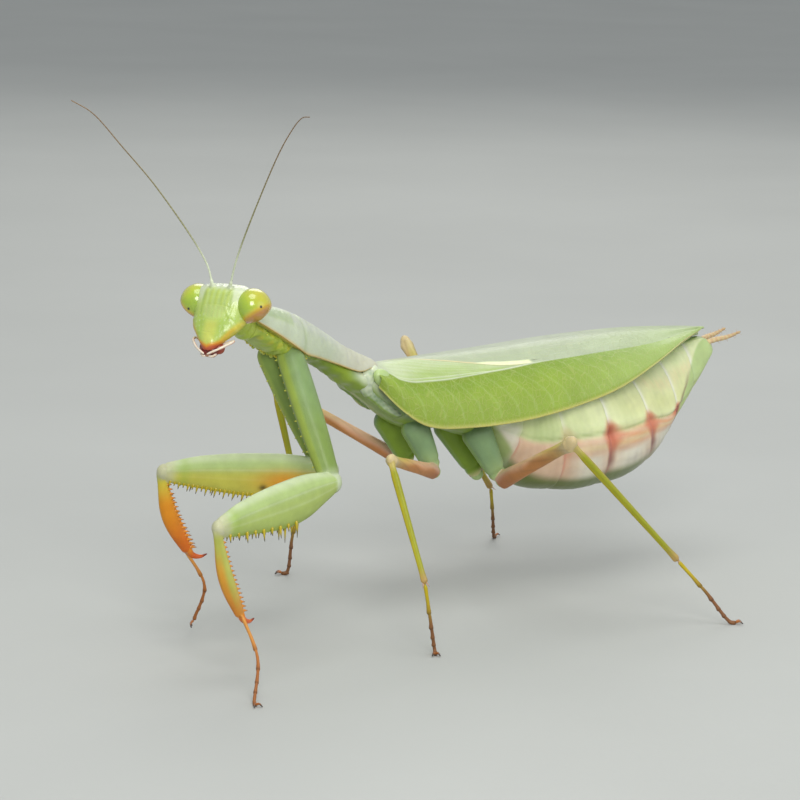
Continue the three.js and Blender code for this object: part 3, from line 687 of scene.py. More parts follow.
class Skin:
    """Points, faces and tints of one piece while it is being made."""

    def __init__(self, name: str) -> None:
        """Starts empty.

        Args:
            name: The name of the Blender object that it becomes.
        """
        self.name = name
        self.points = np.zeros((0, 3))
        self.tints = np.zeros((0, 4))
        self.charts = np.zeros((0, 3))
        self.faces: list[Array] = []

    def add(self, points: Array, faces: list[Array], tint: Colour, net: Number = 0.0,
            chart: Array | None = None) -> None:
        """Adds one closed body, and turns its faces outward.

        Args:
            points: Its points, one a row.
            faces: Arrays of corner numbers, one face a row.
            tint: One colour, or one for each point.
            net: How strongly the net of veins shows.
            chart: Places on the wing's chart.
        """
        volume = 0.0
        for corners in faces:
            for k in range(1, corners.shape[1] - 1):
                a, b, c = (points[corners[:, j]] for j in (0, k, k + 1))
                volume += float(np.sum(a * np.cross(b, c)))
        colour = tint.rgb if isinstance(tint, Tone) else np.asarray(tint)
        colour = np.broadcast_to(colour.reshape(-1, 3), (len(points), 3))
        strength = np.broadcast_to(np.asarray(net, float).reshape(-1, 1), (len(points), 1))
        start = len(self.points)
        self.faces += [start + (corners if volume > 0 else corners[:, ::-1]) for corners in faces]
        self.points = np.vstack([self.points, points])
        self.tints = np.vstack([self.tints, np.hstack([colour, strength])])
        self.charts = np.vstack([self.charts, np.zeros((len(points), 3)) if chart is None else chart])

    def tube(self, rings: Array, start: Array, end: Array, tint: Colour) -> None:
        """Adds closed rings with a point at each end.

        Args:
            rings: Points by ring and by place on it.
            start: The point before the first ring.
            end: The point after the last one.
            tint: One colour, or one for each place.
        """
        count, size = rings.shape[:2]
        index = np.arange(count * size).reshape(count, size)
        after = np.roll(index, -1, axis=1)
        sides = np.stack([index[:-1], after[:-1], after[1:], index[1:]], axis=-1).reshape(-1, 4)
        first = np.stack([np.full(size, count * size), after[0], index[0]], axis=-1)
        last = np.stack([np.full(size, count * size + 1), index[-1], after[-1]], axis=-1)
        points = np.vstack([rings.reshape(-1, 3), start, end])
        if not isinstance(tint, Tone) and np.ndim(tint) > 1:
            flat = np.broadcast_to(tint, rings.shape).reshape(-1, 3)
            tint = np.vstack([flat, flat[:size].mean(axis=0), flat[-size:].mean(axis=0)])
        self.add(points, [sides, first, last], tint)

    def limb(self, shape: Sweep, tint: Colour) -> None:
        """Adds a swept limb."""
        self.tube(shape.rings, shape.path.point(0), shape.path.point(1), tint)

    def ball(self, centre: Array, axes: tuple[Array, Array, Array], half: Triple, tint: Colour,
            detail: int = 24) -> None:
        """Adds an ellipsoid.

        Args:
            centre: Its middle.
            axes: Its three directions.
            half: Its reach along each.
            tint: Its colour.
            detail: Rings from one end to the other.
        """
        polar = np.pi * (np.arange(detail) + 0.5)[:, None] / detail
        around = np.pi * np.arange(2 * detail)[None, :] / detail
        parts = (np.sin(polar) * np.cos(around), np.sin(polar) * np.sin(around), np.cos(polar) + 0 * around)
        rings = centre + sum(p[..., None] * h * axis for p, h, axis in zip(parts, half, axes))
        self.tube(rings, centre + half[2] * axes[2], centre - half[2] * axes[2], tint)

    def spike(self, root: Array, tip: Array, radius: float, tint: Colour, end: Colour,
            sides: int = 8) -> None:
        """Adds a slim thorn that bends a little.

        Args:
            root: Middle of its foot.
            tip: Its point.
            radius: Radius at the foot.
            tint: Colour of the foot.
            end: Colour of the point.
            sides: Points round it.
        """
        path = Path(root, tip)
        size = Profile((0, 1.25), (0.2, 1), (1, 0.12)).scaled(radius)
        shape = sweep(path, UP + 0.1, size, size, sides=sides, steps=9)
        self.limb(shape, blend(tint, end, ramp(shape.share, 0.55, 0.95)))

    def slab(self, middle: Array, thickness: Number, upper: Array, lower: Array, net: Array,
            chart: Array) -> None:
        """Adds a thin closed sheet.

        Args:
            middle: Points by row and by place across.
            thickness: Its thickness at each.
            upper: Colours of one face.
            lower: Colours of the other.
            net: How strongly the net of veins shows.
            chart: Places on the sheet's chart.
        """
        along = np.gradient(middle, axis=0)
        across = np.gradient(middle, axis=1)
        normal = unit(np.cross(along, across)) * np.asarray(thickness)[..., None] / 2
        size = middle.shape[1]
        rings = np.concatenate([middle + normal, (middle - normal)[:, ::-1]], axis=1)
        count = len(rings)
        index = np.arange(count * 2 * size).reshape(count, 2 * size)
        after = np.roll(index, -1, axis=1)
        sides = np.stack([index[:-1], after[:-1], after[1:], index[1:]], axis=-1).reshape(-1, 4)
        near = np.arange(size - 1)
        far = 2 * size - 1 - near
        caps = [np.stack([row[near], row[far], row[far - 1], row[near + 1]], axis=-1)[:, ::order]
            for row, order in ((index[0], 1), (index[-1], -1))]

        def doubled(first: Array, second: Array) -> Array:
            """The two faces' values in ring order."""
            return np.concatenate([first, second[:, ::-1]], axis=1).reshape(-1, first.shape[-1])

        self.add(rings.reshape(-1, 3), [sides, *caps], doubled(upper, lower),
            doubled(net[..., None], net[..., None]), doubled(chart, chart))

    def fuse(self, voxel: float, smoothing: int = 3) -> None:
        """Melts all bodies into one closed skin, and carries the tints over.

        Args:
            voxel: Size of the cells of the new skin.
            smoothing: How many times the skin is relaxed.
        """
        mesh = self.mesh("melt", self.points)
        scratch = placed("melt", mesh)
        melt = scratch.modifiers.new("melt", "REMESH")
        melt.mode = "VOXEL"
        melt.voxel_size = voxel
        relax = scratch.modifiers.new("relax", "SMOOTH")
        relax.iterations = smoothing
        relax.factor = 0.5
        done = scratch.evaluated_get(bpy.context.evaluated_depsgraph_get()).to_mesh()
        points = np.empty(len(done.vertices) * 3)
        done.vertices.foreach_get("co", points)
        corners = np.empty(len(done.loops), dtype=int)
        done.loops.foreach_get("vertex_index", corners)
        sizes = np.empty(len(done.polygons), dtype=int)
        done.polygons.foreach_get("loop_total", sizes)
        starts = np.concatenate([[0], np.cumsum(sizes)[:-1]])
        faces = [corners[starts[sizes == size][:, None] + np.arange(size)] for size in np.unique(sizes)]
        tree = KDTree(len(self.points))
        for number, point in enumerate(self.points):
            tree.insert(point, number)
        tree.balance()
        points = points.reshape(-1, 3)
        tints = np.empty((len(points), 4))
        for number, point in enumerate(points):
            near = tree.find_n(point, 3)
            weights = np.array([1 / (distance + 0.01) for _, _, distance in near])
            tints[number] = weights @ self.tints[[index for _, index, _ in near]] / weights.sum()
        bpy.data.objects.remove(scratch)
        bpy.data.meshes.remove(mesh)
        self.points, self.tints, self.faces = points, tints, faces
        self.charts = np.zeros((len(points), 3))

    def mesh(self, name: str, points: Array) -> bpy.types.Mesh:
        """A Blender mesh of the skin's faces.

        Args:
            name: Its name.
            points: Where the skin's points go.

        Returns:
            The mesh.
        """
        mesh = bpy.data.meshes.new(name)
        faces = [face for group in self.faces for face in group.tolist()]
        mesh.from_pydata(points.tolist(), [], faces)
        return mesh

    def normals(self) -> Array:
        """The outward direction at every point.

        Returns:
            One vector of length 1 for each, or nearly nothing where the faces cancel out.
        """
        total = np.zeros_like(self.points)
        for corners in self.faces:
            first, second = self.points[corners[:, 0]], self.points[corners[:, 1]]
            third = self.points[corners[:, 2]]
            lean = np.cross(second - first, third - first)
            for k in range(corners.shape[1]):
                np.add.at(total, corners[:, k], lean)
        return total / np.maximum(np.linalg.norm(total, axis=1, keepdims=True), 1e-12)

    def build(self, finish: Finish, slot: str, *nodes: str) -> Piece:
        """Turns the skin into an object of the scene.

        Args:
            finish: How it takes the light.
            slot: The record's material slot; not used.
            nodes: The frame's nodes that it stands for.

        Returns:
            The object, riding on the body.
        """
        mesh = self.mesh(self.name, (self.points + Place.shift) * MM)
        mesh.polygons.foreach_set("use_smooth", np.ones(len(mesh.polygons), dtype=bool))
        tint = mesh.color_attributes.new("tint", "FLOAT_COLOR", "POINT")
        tint.data.foreach_set("color", self.tints.ravel())
        chart = mesh.attributes.new("chart", "FLOAT_VECTOR", "POINT")
        chart.data.foreach_set("vector", self.charts.ravel())
        mesh.materials.append(finish.material())
        piece = placed(self.name, mesh)
        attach(piece, "root")
        if nodes:
            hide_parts(*nodes)
        return piece


class Pair:
    """A part of two pieces, one on each side of the animal."""

    def build(self) -> list[Piece]:
        """Makes both pieces."""
        return [self.build_one(side) for side in Side]

    def build_one(self, side: Side) -> Piece:
        """Makes the piece of one side; each pair has its own way."""
        raise NotImplementedError


class Place:
    """Where the animal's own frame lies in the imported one."""

    shift = np.zeros(3)

    @classmethod
    def settle(cls, eye: Array) -> None:
        """Lines the animal up with the frame by its left eye.

        Args:
            eye: The middle of the left eye in the animal's own frame.
        """
        low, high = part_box("eye_left")
        cls.shift = (np.array(low) + np.array(high)) / 2 / MM - eye
        cls.shift[2] = 0


# ---------------- head


SKULL_HEADING = 31.5
SKULL = Axes.aimed((-22.6, -7.45, 35.0), SKULL_HEADING, 18.0)
CHEST = Axes.aimed((0.0, 0.0, 26.4), 16.0, 23.0)


@dataclass
class Eyes(Pair):
    """The two compound eyes."""

    apart: float = 2.98
    back: float = 0.15
    half: Triple = (1.75, 1.85, 2.1)
    pupils: dict[Side, Triple] = field(
        default_factory=lambda: {Side.LEFT: (1.405, -0.05, 1.26), Side.RIGHT: (-0.1, -0.96, 1.79)})
    pupil_size: float = 0.13

    def centre(self, side: Side) -> Array:
        """The middle of an eye."""
        return SKULL.at(side.value * self.apart, 0, -self.back)

    def build_one(self, side: Side) -> Piece:
        """Makes one eye, with a rusty lower rim and its small dark false pupil.

        Args:
            side: Which eye.

        Returns:
            Its object.
        """
        skin = Skin(f"{side.word}_eye")
        centre = self.centre(side)
        axes = SKULL.ball_axes
        skin.ball(centre, axes, (self.half[0], self.half[2], self.half[1]), Tone.EYE, detail=96)
        place = skin.points - centre
        out = place @ SKULL.left * side.value / self.half[0]
        up = place @ SKULL.up / self.half[1]
        ahead = place @ SKULL.forward / self.half[2]
        lower = 0.58 * out - 0.78 * up - 0.23 * ahead
        tint = paint(
            Tone.EYE,
            (Tone.YELLOW, 0.75 * ramp(0.6 * up + 0.5 * out, -0.1, 0.9)),
            (Tone.BRIGHT_LEAF, 0.7 * ramp(up + 0.8 * out - 0.3 * ahead, 0.2, -0.9)),
            (Tone.YELLOW, 0.6 * ramp(lower, 0.12, 0.4)),
            (Tone.ORANGE, 0.5 * bump(lower, 0.46, 0.12)),
            (Tone.EYE_RIM, 0.95 * ramp(lower, 0.42, 0.6)),
        )
        skin.points = centre + place * (1 - 0.24 * ramp(lower, 0.35, 1.05))[:, None]
        pupil = np.array(self.pupils[side]) / (self.half[0], self.half[1], self.half[2])
        pupil /= np.linalg.norm(pupil)
        away = (np.linalg.norm(np.stack([out * side.value, up, ahead], axis=-1) - pupil, axis=1)
            * self.half[0])
        tint = blend(tint, Tone.BLACK, ramp(away, 1.25 * self.pupil_size, 0.75 * self.pupil_size))
        skin.tints[:, :3] = tint
        return skin.build(EYE, "eye", f"eye_{side.word}")


@dataclass
class Head:
    """The head's capsule, from its crown to the upper lip."""

    half: Profile = Profile((-4.9, 0.5), (-4.3, 1.0), (-3.6, 1.6), (-2.6, 2.4), (-1.2, 2.85), (0, 3.15),
        (1, 3.1), (1.6, 2.7), (1.95, 1.9))
    front: Profile = Profile((-4.9, 0.4), (-4.3, 0.75), (-2, 1.6), (-0.5, 2.1), (0.8, 2.0), (1.5, 1.5),
        (1.95, 0.6))
    nape: Profile = Profile((-4.9, 0.3), (-4.3, 0.6), (-2, 1.5), (0, 1.9), (1.2, 1.7), (1.95, 0.9))
    jut: Profile = Profile((-4.9, 2.3), (-4.3, 2.05), (-2.6, 1.2), (-1, 0.3), (0.5, 0))
    low: float = -4.88
    high: float = 1.98
    sockets: Triple = (0.95, 1.55, 1.25)
    voxel: float = 0.062

    def build(self) -> list[Piece]:
        """Makes the capsule.

        Returns:
            Its object.
        """
        skin = Skin("head_capsule")
        height = self.low + (self.high - self.low) * eased(60)
        angle = angles(72)
        across, depth = oval(angle, self.half(height), self.front(height), self.nape(height), 0.9)
        rings = SKULL.at(across, height + 0 * angle, depth + self.jut(height))
        skin.tube(rings, SKULL.at(0, self.low - 0.08, 2.35), SKULL.at(0, self.high + 0.04, -0.1), Tone.LEAF)
        self.add_lobes(skin)
        skin.fuse(self.voxel, 4)
        skin.points += skin.normals() * self.relief(skin.points)[:, None]
        skin.tints[:, :3] = self.tints(skin.points)
        return [skin.build(FACE, "cuticle_green", "head")]

    def add_lobes(self, skin: Skin) -> None:
        """Adds the sockets of the feelers, the three small eyes, the cheeks and the lip.

        Args:
            skin: What they are added to.
        """
        axes = SKULL.ball_axes
        for side in Side:
            sign = side.value
            skin.ball(SKULL.at(sign * self.sockets[0], self.sockets[1] - 0.15, self.sockets[2]), axes,
                (0.42, 0.45, 0.42), Tone.LEAF)
            skin.ball(SKULL.at(sign * 0.4, 1.78, 0.6), axes, (0.18, 0.18, 0.16), Tone.LEAF)
            skin.ball(SKULL.at(sign * 1.6, -1.4, 0.5), axes, (0.9, 0.95, 1.2), Tone.LEAF)
        skin.ball(SKULL.at(0, 1.55, 1.2), axes, (0.18, 0.18, 0.16), Tone.LEAF)
        skin.ball(SKULL.at(0, -2.6, 2.05), axes, (1.35, 0.45, 1.1), Tone.LEAF)
        skin.ball(SKULL.at(0, -4.15, 2.6), axes, (0.62, 0.26, 0.8), Tone.LEAF)

    @staticmethod
    def face_places(points: Array) -> tuple[Array, Array, Array]:
        """How far points lie to the left, above and in front of the face's middle."""
        place = points - SKULL.origin
        return place @ SKULL.left, place @ SKULL.up, place @ SKULL.forward

    def relief(self, points: Array) -> Array:
        """How far each point stands out: ribs, the shield's edge, sutures and folds.

        Args:
            points: The capsule's points.

        Returns:
            One distance for each point.
        """
        side, height, depth = self.face_places(points)
        front = ramp(depth, 0.3, 1.2)
        brow = ramp(height, -0.9, -0.2) * ramp(height, 1.5, 0.9) * front
        ribs = 0.014 * brow * np.cos(TURN * side / 0.62) * ramp(np.abs(side), 1.7, 1.35)
        shield = (ramp(height, -1.75, -1.6) * ramp(height, -0.45, -0.6) * ramp(np.abs(side), 1.35, 1.2)
            * front)
        ribs += 0.007 * shield * np.cos(TURN * side / 0.5)
        sutures = 0.015 * bump(height + 0.32 + 0.1 * side**2, 0, 0.08) * ramp(np.abs(side), 1.7, 1.3)
        sutures += 0.012 * bump(height + 1.95 - 0.12 * side**2, 0, 0.1) * ramp(np.abs(side), 1.7, 1.4)
        sutures += 0.02 * bump(height + 3.2 - 0.15 * side**2, 0, 0.09) * ramp(np.abs(side), 1.1, 0.8)
        groove = np.abs(side) - 1.6 - 0.28 * (height + 1)
        sutures += 0.012 * bump(groove, 0, 0.1) * ramp(height, -3.4, -2.8) * ramp(height, 0.2, -0.2)
        rims = 0.0
        for sign in (1, -1):
            away = np.hypot((side - sign * 2.98) / 1.75, height / 1.85)
            rims = rims + 0.03 * bump(away, 1.12, 0.08)
        wrinkles = (0.01 * np.cos(5.3 * side + 7.1 * height) * np.cos(8.7 * side - 4.3 * height)
            * ramp(np.abs(side), 0.5, 1.2))
        wrinkles = 0.55 * wrinkles * ramp(height, -0.8, -1.6) * ramp(height, -4.6, -4.2) * front
        crown = 0.008 * ramp(height, 1.3, 1.8) * np.cos(TURN * side / 0.9) * ramp(np.abs(side), 2.2, 1.4)
        return ribs + rims + crown + wrinkles - sutures * front

    def tints(self, points: Array) -> Array:
        """The capsule's colours.

        Args:
            points: The capsule's points.

        Returns:
            One colour for each point.
        """
        side, height, depth = self.face_places(points)
        wide = np.abs(side)
        front = ramp(depth, 0.3, 1.1)
        rib = 0.5 + 0.5 * np.cos(TURN * side / 0.62)
        brow = front * ramp(wide, 1.7, 1.3) * ramp(height, -0.6, -0.2) * ramp(height, 1.7, 1.1)
        plate = ramp(height, -1.85, -1.5) * ramp(height, -0.3, -0.6) * front * ramp(wide, 1.4, 1)
        glint = ramp(np.cos(5.3 * side + 7.1 * height) * np.cos(8.7 * side - 4.3 * height), 0.45, 0.9)
        band = wide - 0.7 * (height + 5.75)
        return paint(
            Tone.FACE,
            (Tone.BRIGHT_LEAF, 0.5 * ramp(height, -0.2, -1.8) * ramp(wide, 0.6, 1.4)),
            (Tone.GREY_GREEN, 0.8 * ramp(height, 0.9, 1.6)),
            (Tone.WHITE_GREEN, 0.7 * ramp(wide, 1.2, 1.7) * ramp(height, -0.6, 0.6)),
            (Tone.YELLOW_GREEN, 0.4 * rib * brow),
            (Tone.PALE_GREEN, 0.4 * (1 - rib) * brow),
            (Tone.BRIGHT_LEAF, 0.5 * bump(wide, 1.45, 0.14) * front * ramp(height, -2.2, -1.2)
                * ramp(height, 1.2, 0.4)),
            (Tone.PALE_GREEN, 0.4 * plate),
            (Tone.STRAW, 0.12 * plate * (0.5 + 0.5 * np.cos(TURN * side / 0.42))),
            (Tone.YELLOW, 0.35 * ramp(height, -1.7, -2.4) * front * ramp(wide, 1.3, 0.3)),
            (Tone.BRIGHT_LEAF, 0.6 * bump(wide, 1, 0.45) * ramp(height, -1.2, -2.2) * front),
            (Tone.WHITE_GREEN, 0.25 * glint * ramp(height, -0.8, -1.6) * ramp(wide, 0.5, 1.2) * front),
            (Tone.YELLOW, 0.85 * bump(band, 0, 0.3) * ramp(height, -0.7, -1.3)),
            (Tone.ORANGE, 0.3 * bump(band, -0.05, 0.22) * ramp(height, -2.2, -2.9)),
            (Tone.EYE_RIM, 0.6 * ramp(band, 0.15, 0.5) * ramp(height, -0.9, -1.4)),
            (Tone.ORANGE, 0.85 * ramp(height - 0.4 * wide, -4.2, -4.6)),
            (Tone.RED, 0.9 * ramp(height - 0.45 * wide, -4.5, -4.85)),
        )


@dataclass
class Mouth:
    """Jaws under the lip, with two pairs of slim palps."""

    palp: float = 0.135
    tip: float = 0.1
    jut: float = 0.7

    JAWS: ClassVar[tuple[tuple[Triple, Triple, Colour], ...]] = (
        ((0.4, -4.85, 1.15), (0.5, 0.65, 0.55), Tone.DARK_RED),
        ((0.8, -4.5, 0.75), (0.5, 0.6, 0.6), blend(Tone.DARK_RED, Tone.RED, 0.6)),
        ((0.3, -5.2, 1.0), (0.3, 0.42, 0.3), Tone.TAN),
    )
    LONG_PALP: ClassVar[tuple[Triple, ...]] = (
        (0.9, -4.2, 0.8), (2.05, -3.65, 0.5), (2.1, -3.85, 0.9), (1.15, -4.75, 1.8), (0.15, -5.35, 2.05))
    SHORT_PALP: ClassVar[tuple[Triple, ...]] = (
        (0.3, -5.1, 0.9), (0.75, -5.2, 1.3), (0.55, -5.45, 1.6), (0.15, -5.5, 1.65))

    def build(self) -> list[Piece]:
        """Makes the jaws and palps as one piece.

        Returns:
            Its object.
        """
        skin = Skin("mouth")
        axes = SKULL.ball_axes
        for sign in (1, -1):
            for place, half, tint in self.JAWS:
                skin.ball(SKULL.at(sign * place[0], place[1], place[2] + self.jut), axes, half, tint, 20)
        skin.fuse(0.06)
        for side in Side:
            self.add_palp(skin, side, self.LONG_PALP, self.palp)
            self.add_palp(skin, side, self.SHORT_PALP, 0.9 * self.palp)
        return [skin.build(FACE, "mouth_red", "mouthparts")]

    def add_palp(self, skin: Skin, side: Side, stops: tuple[Triple, ...], radius: float) -> None:
        """Adds one jointed palp.

        Args:
            skin: What it is added to.
            side: Which side of the mouth it is on.
            stops: Where it bends, from the face's axes.
            radius: Its thickness at the root.
        """
        path = Path(*(SKULL.at(side.value * a, b, c + self.jut) for a, b, c in stops))
        size = Profile((0, radius), (0.7, radius), (1, self.tip))
        joints = len(stops) - 1
        shape = sweep(path, SKULL.forward, size, size, sides=12, steps=48,
            relief=lambda s, a: -0.03 * (0.5 + 0.5 * np.cos(TURN * joints * s)) ** 4)
        # Blush palps, whiter on the side towards the face's front: partly their own pale colour, partly a
        # painted highlight.
        skin.limb(shape, blend(Tone.BLUSH, Tone.WHITE, 0.2 + 0.6 * ramp(shape.rise, 0, 0.8)))


@dataclass
class Feelers(Pair):
    """The two antennae."""

    root: Triple = (0.95, 1.6, 1.5)
    routes: dict[Side, tuple[Triple, ...]] = field(default_factory=lambda: {
        Side.LEFT: ((0, 0, 0), (0.9, 2.6, 0.6), (4.6, 9.2, 3.3), (8.8, 15.3, 6.6), (11.3, 17.8, 8.3),
            (12.3, 18.0, 8.8)),
        Side.RIGHT: ((0, 0, 0), (0.5, 2.2, 0.4), (4.3, 9.4, 3.3), (7.0, 13.6, 5.6), (9.2, 16.9, 7.6),
            (10.8, 18.1, 8.8)),
    })
    base: float = 0.105
    tip: float = 0.045
    joint: float = 0.42

    def build_one(self, side: Side) -> Piece:
        """Makes one feeler: a thick first joint and a long ringed thread.

        Args:
            side: Which feeler.

        Returns:
            Its object.
        """
        start = SKULL.at(side.value * self.root[0], self.root[1], self.root[2])
        ahead = direction(SKULL_HEADING, 0)
        path = Path(*(start + side.value * out * SKULL.left + up * UP + level * ahead
            for out, up, level in self.routes[side]))
        skin = Skin(f"feeler_{side.word}")
        count = path.length / self.joint
        size = Profile((0, self.base), (0.3, 0.75 * self.base), (1, self.tip))
        thread = sweep(path, SKULL.forward, size, size, sides=8, steps=360,
            relief=lambda s, a: 0.006 * np.cos(TURN * count * s) + 0.07 * ramp(s, 0.03, 0.015))
        ring = (0.5 + 0.5 * np.cos(TURN * count * thread.share)) ** 6
        skin.limb(thread, paint(
            Tone.WHITE_GREEN,
            (Tone.FEELER, ramp(thread.share, 0.05, 0.3)),
            (Tone.BROWN, 0.75 * ramp(thread.share, 0.25, 0.9)),
            (Tone.DARK, 0.35 * ring * ramp(thread.share, 0.05, 0.4)),
        ))
        return skin.build(FEELER, "feeler_brown", f"antenna_{side.word}")


# ---------------- trunk


@dataclass
class Shield:
    """The pronotum: the long saddle over the front of the body."""

    length: float = 22.3
    half: Profile = Profile((0, 1.9), (5, 1.8), (9, 2.0), (12, 2.4), (15, 2.85), (18, 2.6), (21, 1.9),
        (22.3, 1.0))
    keel: Profile = Profile((0, 0), (5, 0.05), (9, 0.5), (12, 0.75), (16, 0.8), (20, 0.1), (22.3, -0.9))
    margin: Profile = Profile((0, -1.0), (1.7, -1.2), (2.6, -1.75), (3.6, -2.08), (7.5, -2.33),
        (11, -2.61), (13.3, -2.83), (16, -2.53), (18, -2.2), (20.3, -1.85), (22.3, -1.5))
    thickness: float = 0.07
    groove: float = 14.9

    def build(self) -> list[Piece]:
        """Makes the shield.

        Returns:
            Its object.
        """
        share, angle = eased(340), angles(150)
        place = -0.1 + (self.length + 0.15) * share
        end = np.minimum(share, 1 - share) * self.length
        taper = rounded(end / 1.1)
        margin = self.margin(place)
        across, rise = oval(angle, self.half(place) * taper, (self.keel(place) - margin)
            * (0.35 + 0.65 * taper), self.thickness, 0.95)
        top = ramp(np.sin(angle), 0, 0.25)
        rise = rise + top * self.relief(place, across)
        skin = Skin("shield")
        rings = CHEST.at(across, margin + rise, place)
        skin.tube(rings, CHEST.at(0, -1.4, -0.1), CHEST.at(0, -1.5, self.length + 0.05),
            self.tints(place, across, angle))
        return [skin.build(PLATE, "cuticle_pale", "pronotum")]

    def relief(self, place: Array, across: Array) -> Array:
        """Grooves and the fine keel of the upper face.

        Args:
            place: Distance along the shield.
            across: Distance to the left of its middle.

        Returns:
            How far each point stands out.
        """
        keel = 0.07 * bump(across, 0, 0.12) * ramp(place, 0.5, 2) * ramp(place, 14.2, 13.2)
        groove = 0.09 * bump(place - self.groove + 0.14 * across**2, 0, 0.32)
        furrow = 0.09 * bump(across, 0, 0.16) * ramp(place, 15.2, 16) * ramp(place, 21.5, 20.5)
        beads = (0.03 * np.cos(5.1 * place + 2.3 * across) * np.cos(4.4 * across - 1.7 * place)
            * ramp(np.abs(across), 0.5, 1.2))
        return keel - groove - furrow + beads

    def tints(self, place: Array, across: Array, angle: Array) -> Array:
        """The shield's colours, paler on top with a cream and rosy margin.

        Args:
            place: Distance along the shield.
            across: Distance to the left of its middle.
            angle: Radians round the ring.

        Returns:
            One colour for each point.
        """
        side = np.abs(np.cos(angle)) + 0 * place
        low = ramp(np.sin(angle) + 0 * place, 0.06, 0.02) * ramp(side, 0.5, 0.9)
        return paint(
            Tone.GREY_GREEN,
            (Tone.WHITE_GREEN, 0.35 * ramp(side, 0.8, 0.3)),
            (Tone.PALE_GREEN, 0.25 * ramp(side, 0.6, 0.9) * ramp(place, 4, 10)),
            (Tone.LEAF, 0.4 * ramp(place, 15.9, 16.4) * ramp(place, 20.8, 20.2) * ramp(side, 0.35, 0.5)
                * ramp(side, 0.9, 0.8)),
            (Tone.BONE, 0.22 * ramp(place, 10, 3)),
            (Tone.BLUE_GREEN, 0.3 * ramp(place, 16, 20) * ramp(side, 0.9, 0.6)),
            (Tone.WHITE_GREEN, 0.5 * bump(across, 0, 0.35) * ramp(place, 16, 12)),
            (Tone.LEAF, 0.25 * bump(place - self.groove + 0.14 * across**2, 0, 0.35)),
            (Tone.STRAW, 0.85 * low),
            (Tone.ORANGE, 0.5 * low * ramp(np.sin(angle) + 0 * place, 0.03, -0.05)),
            (Tone.YELLOW_GREEN, 0.5 * ramp(np.sin(angle) + 0 * place, -0.2, -0.5)),
        )


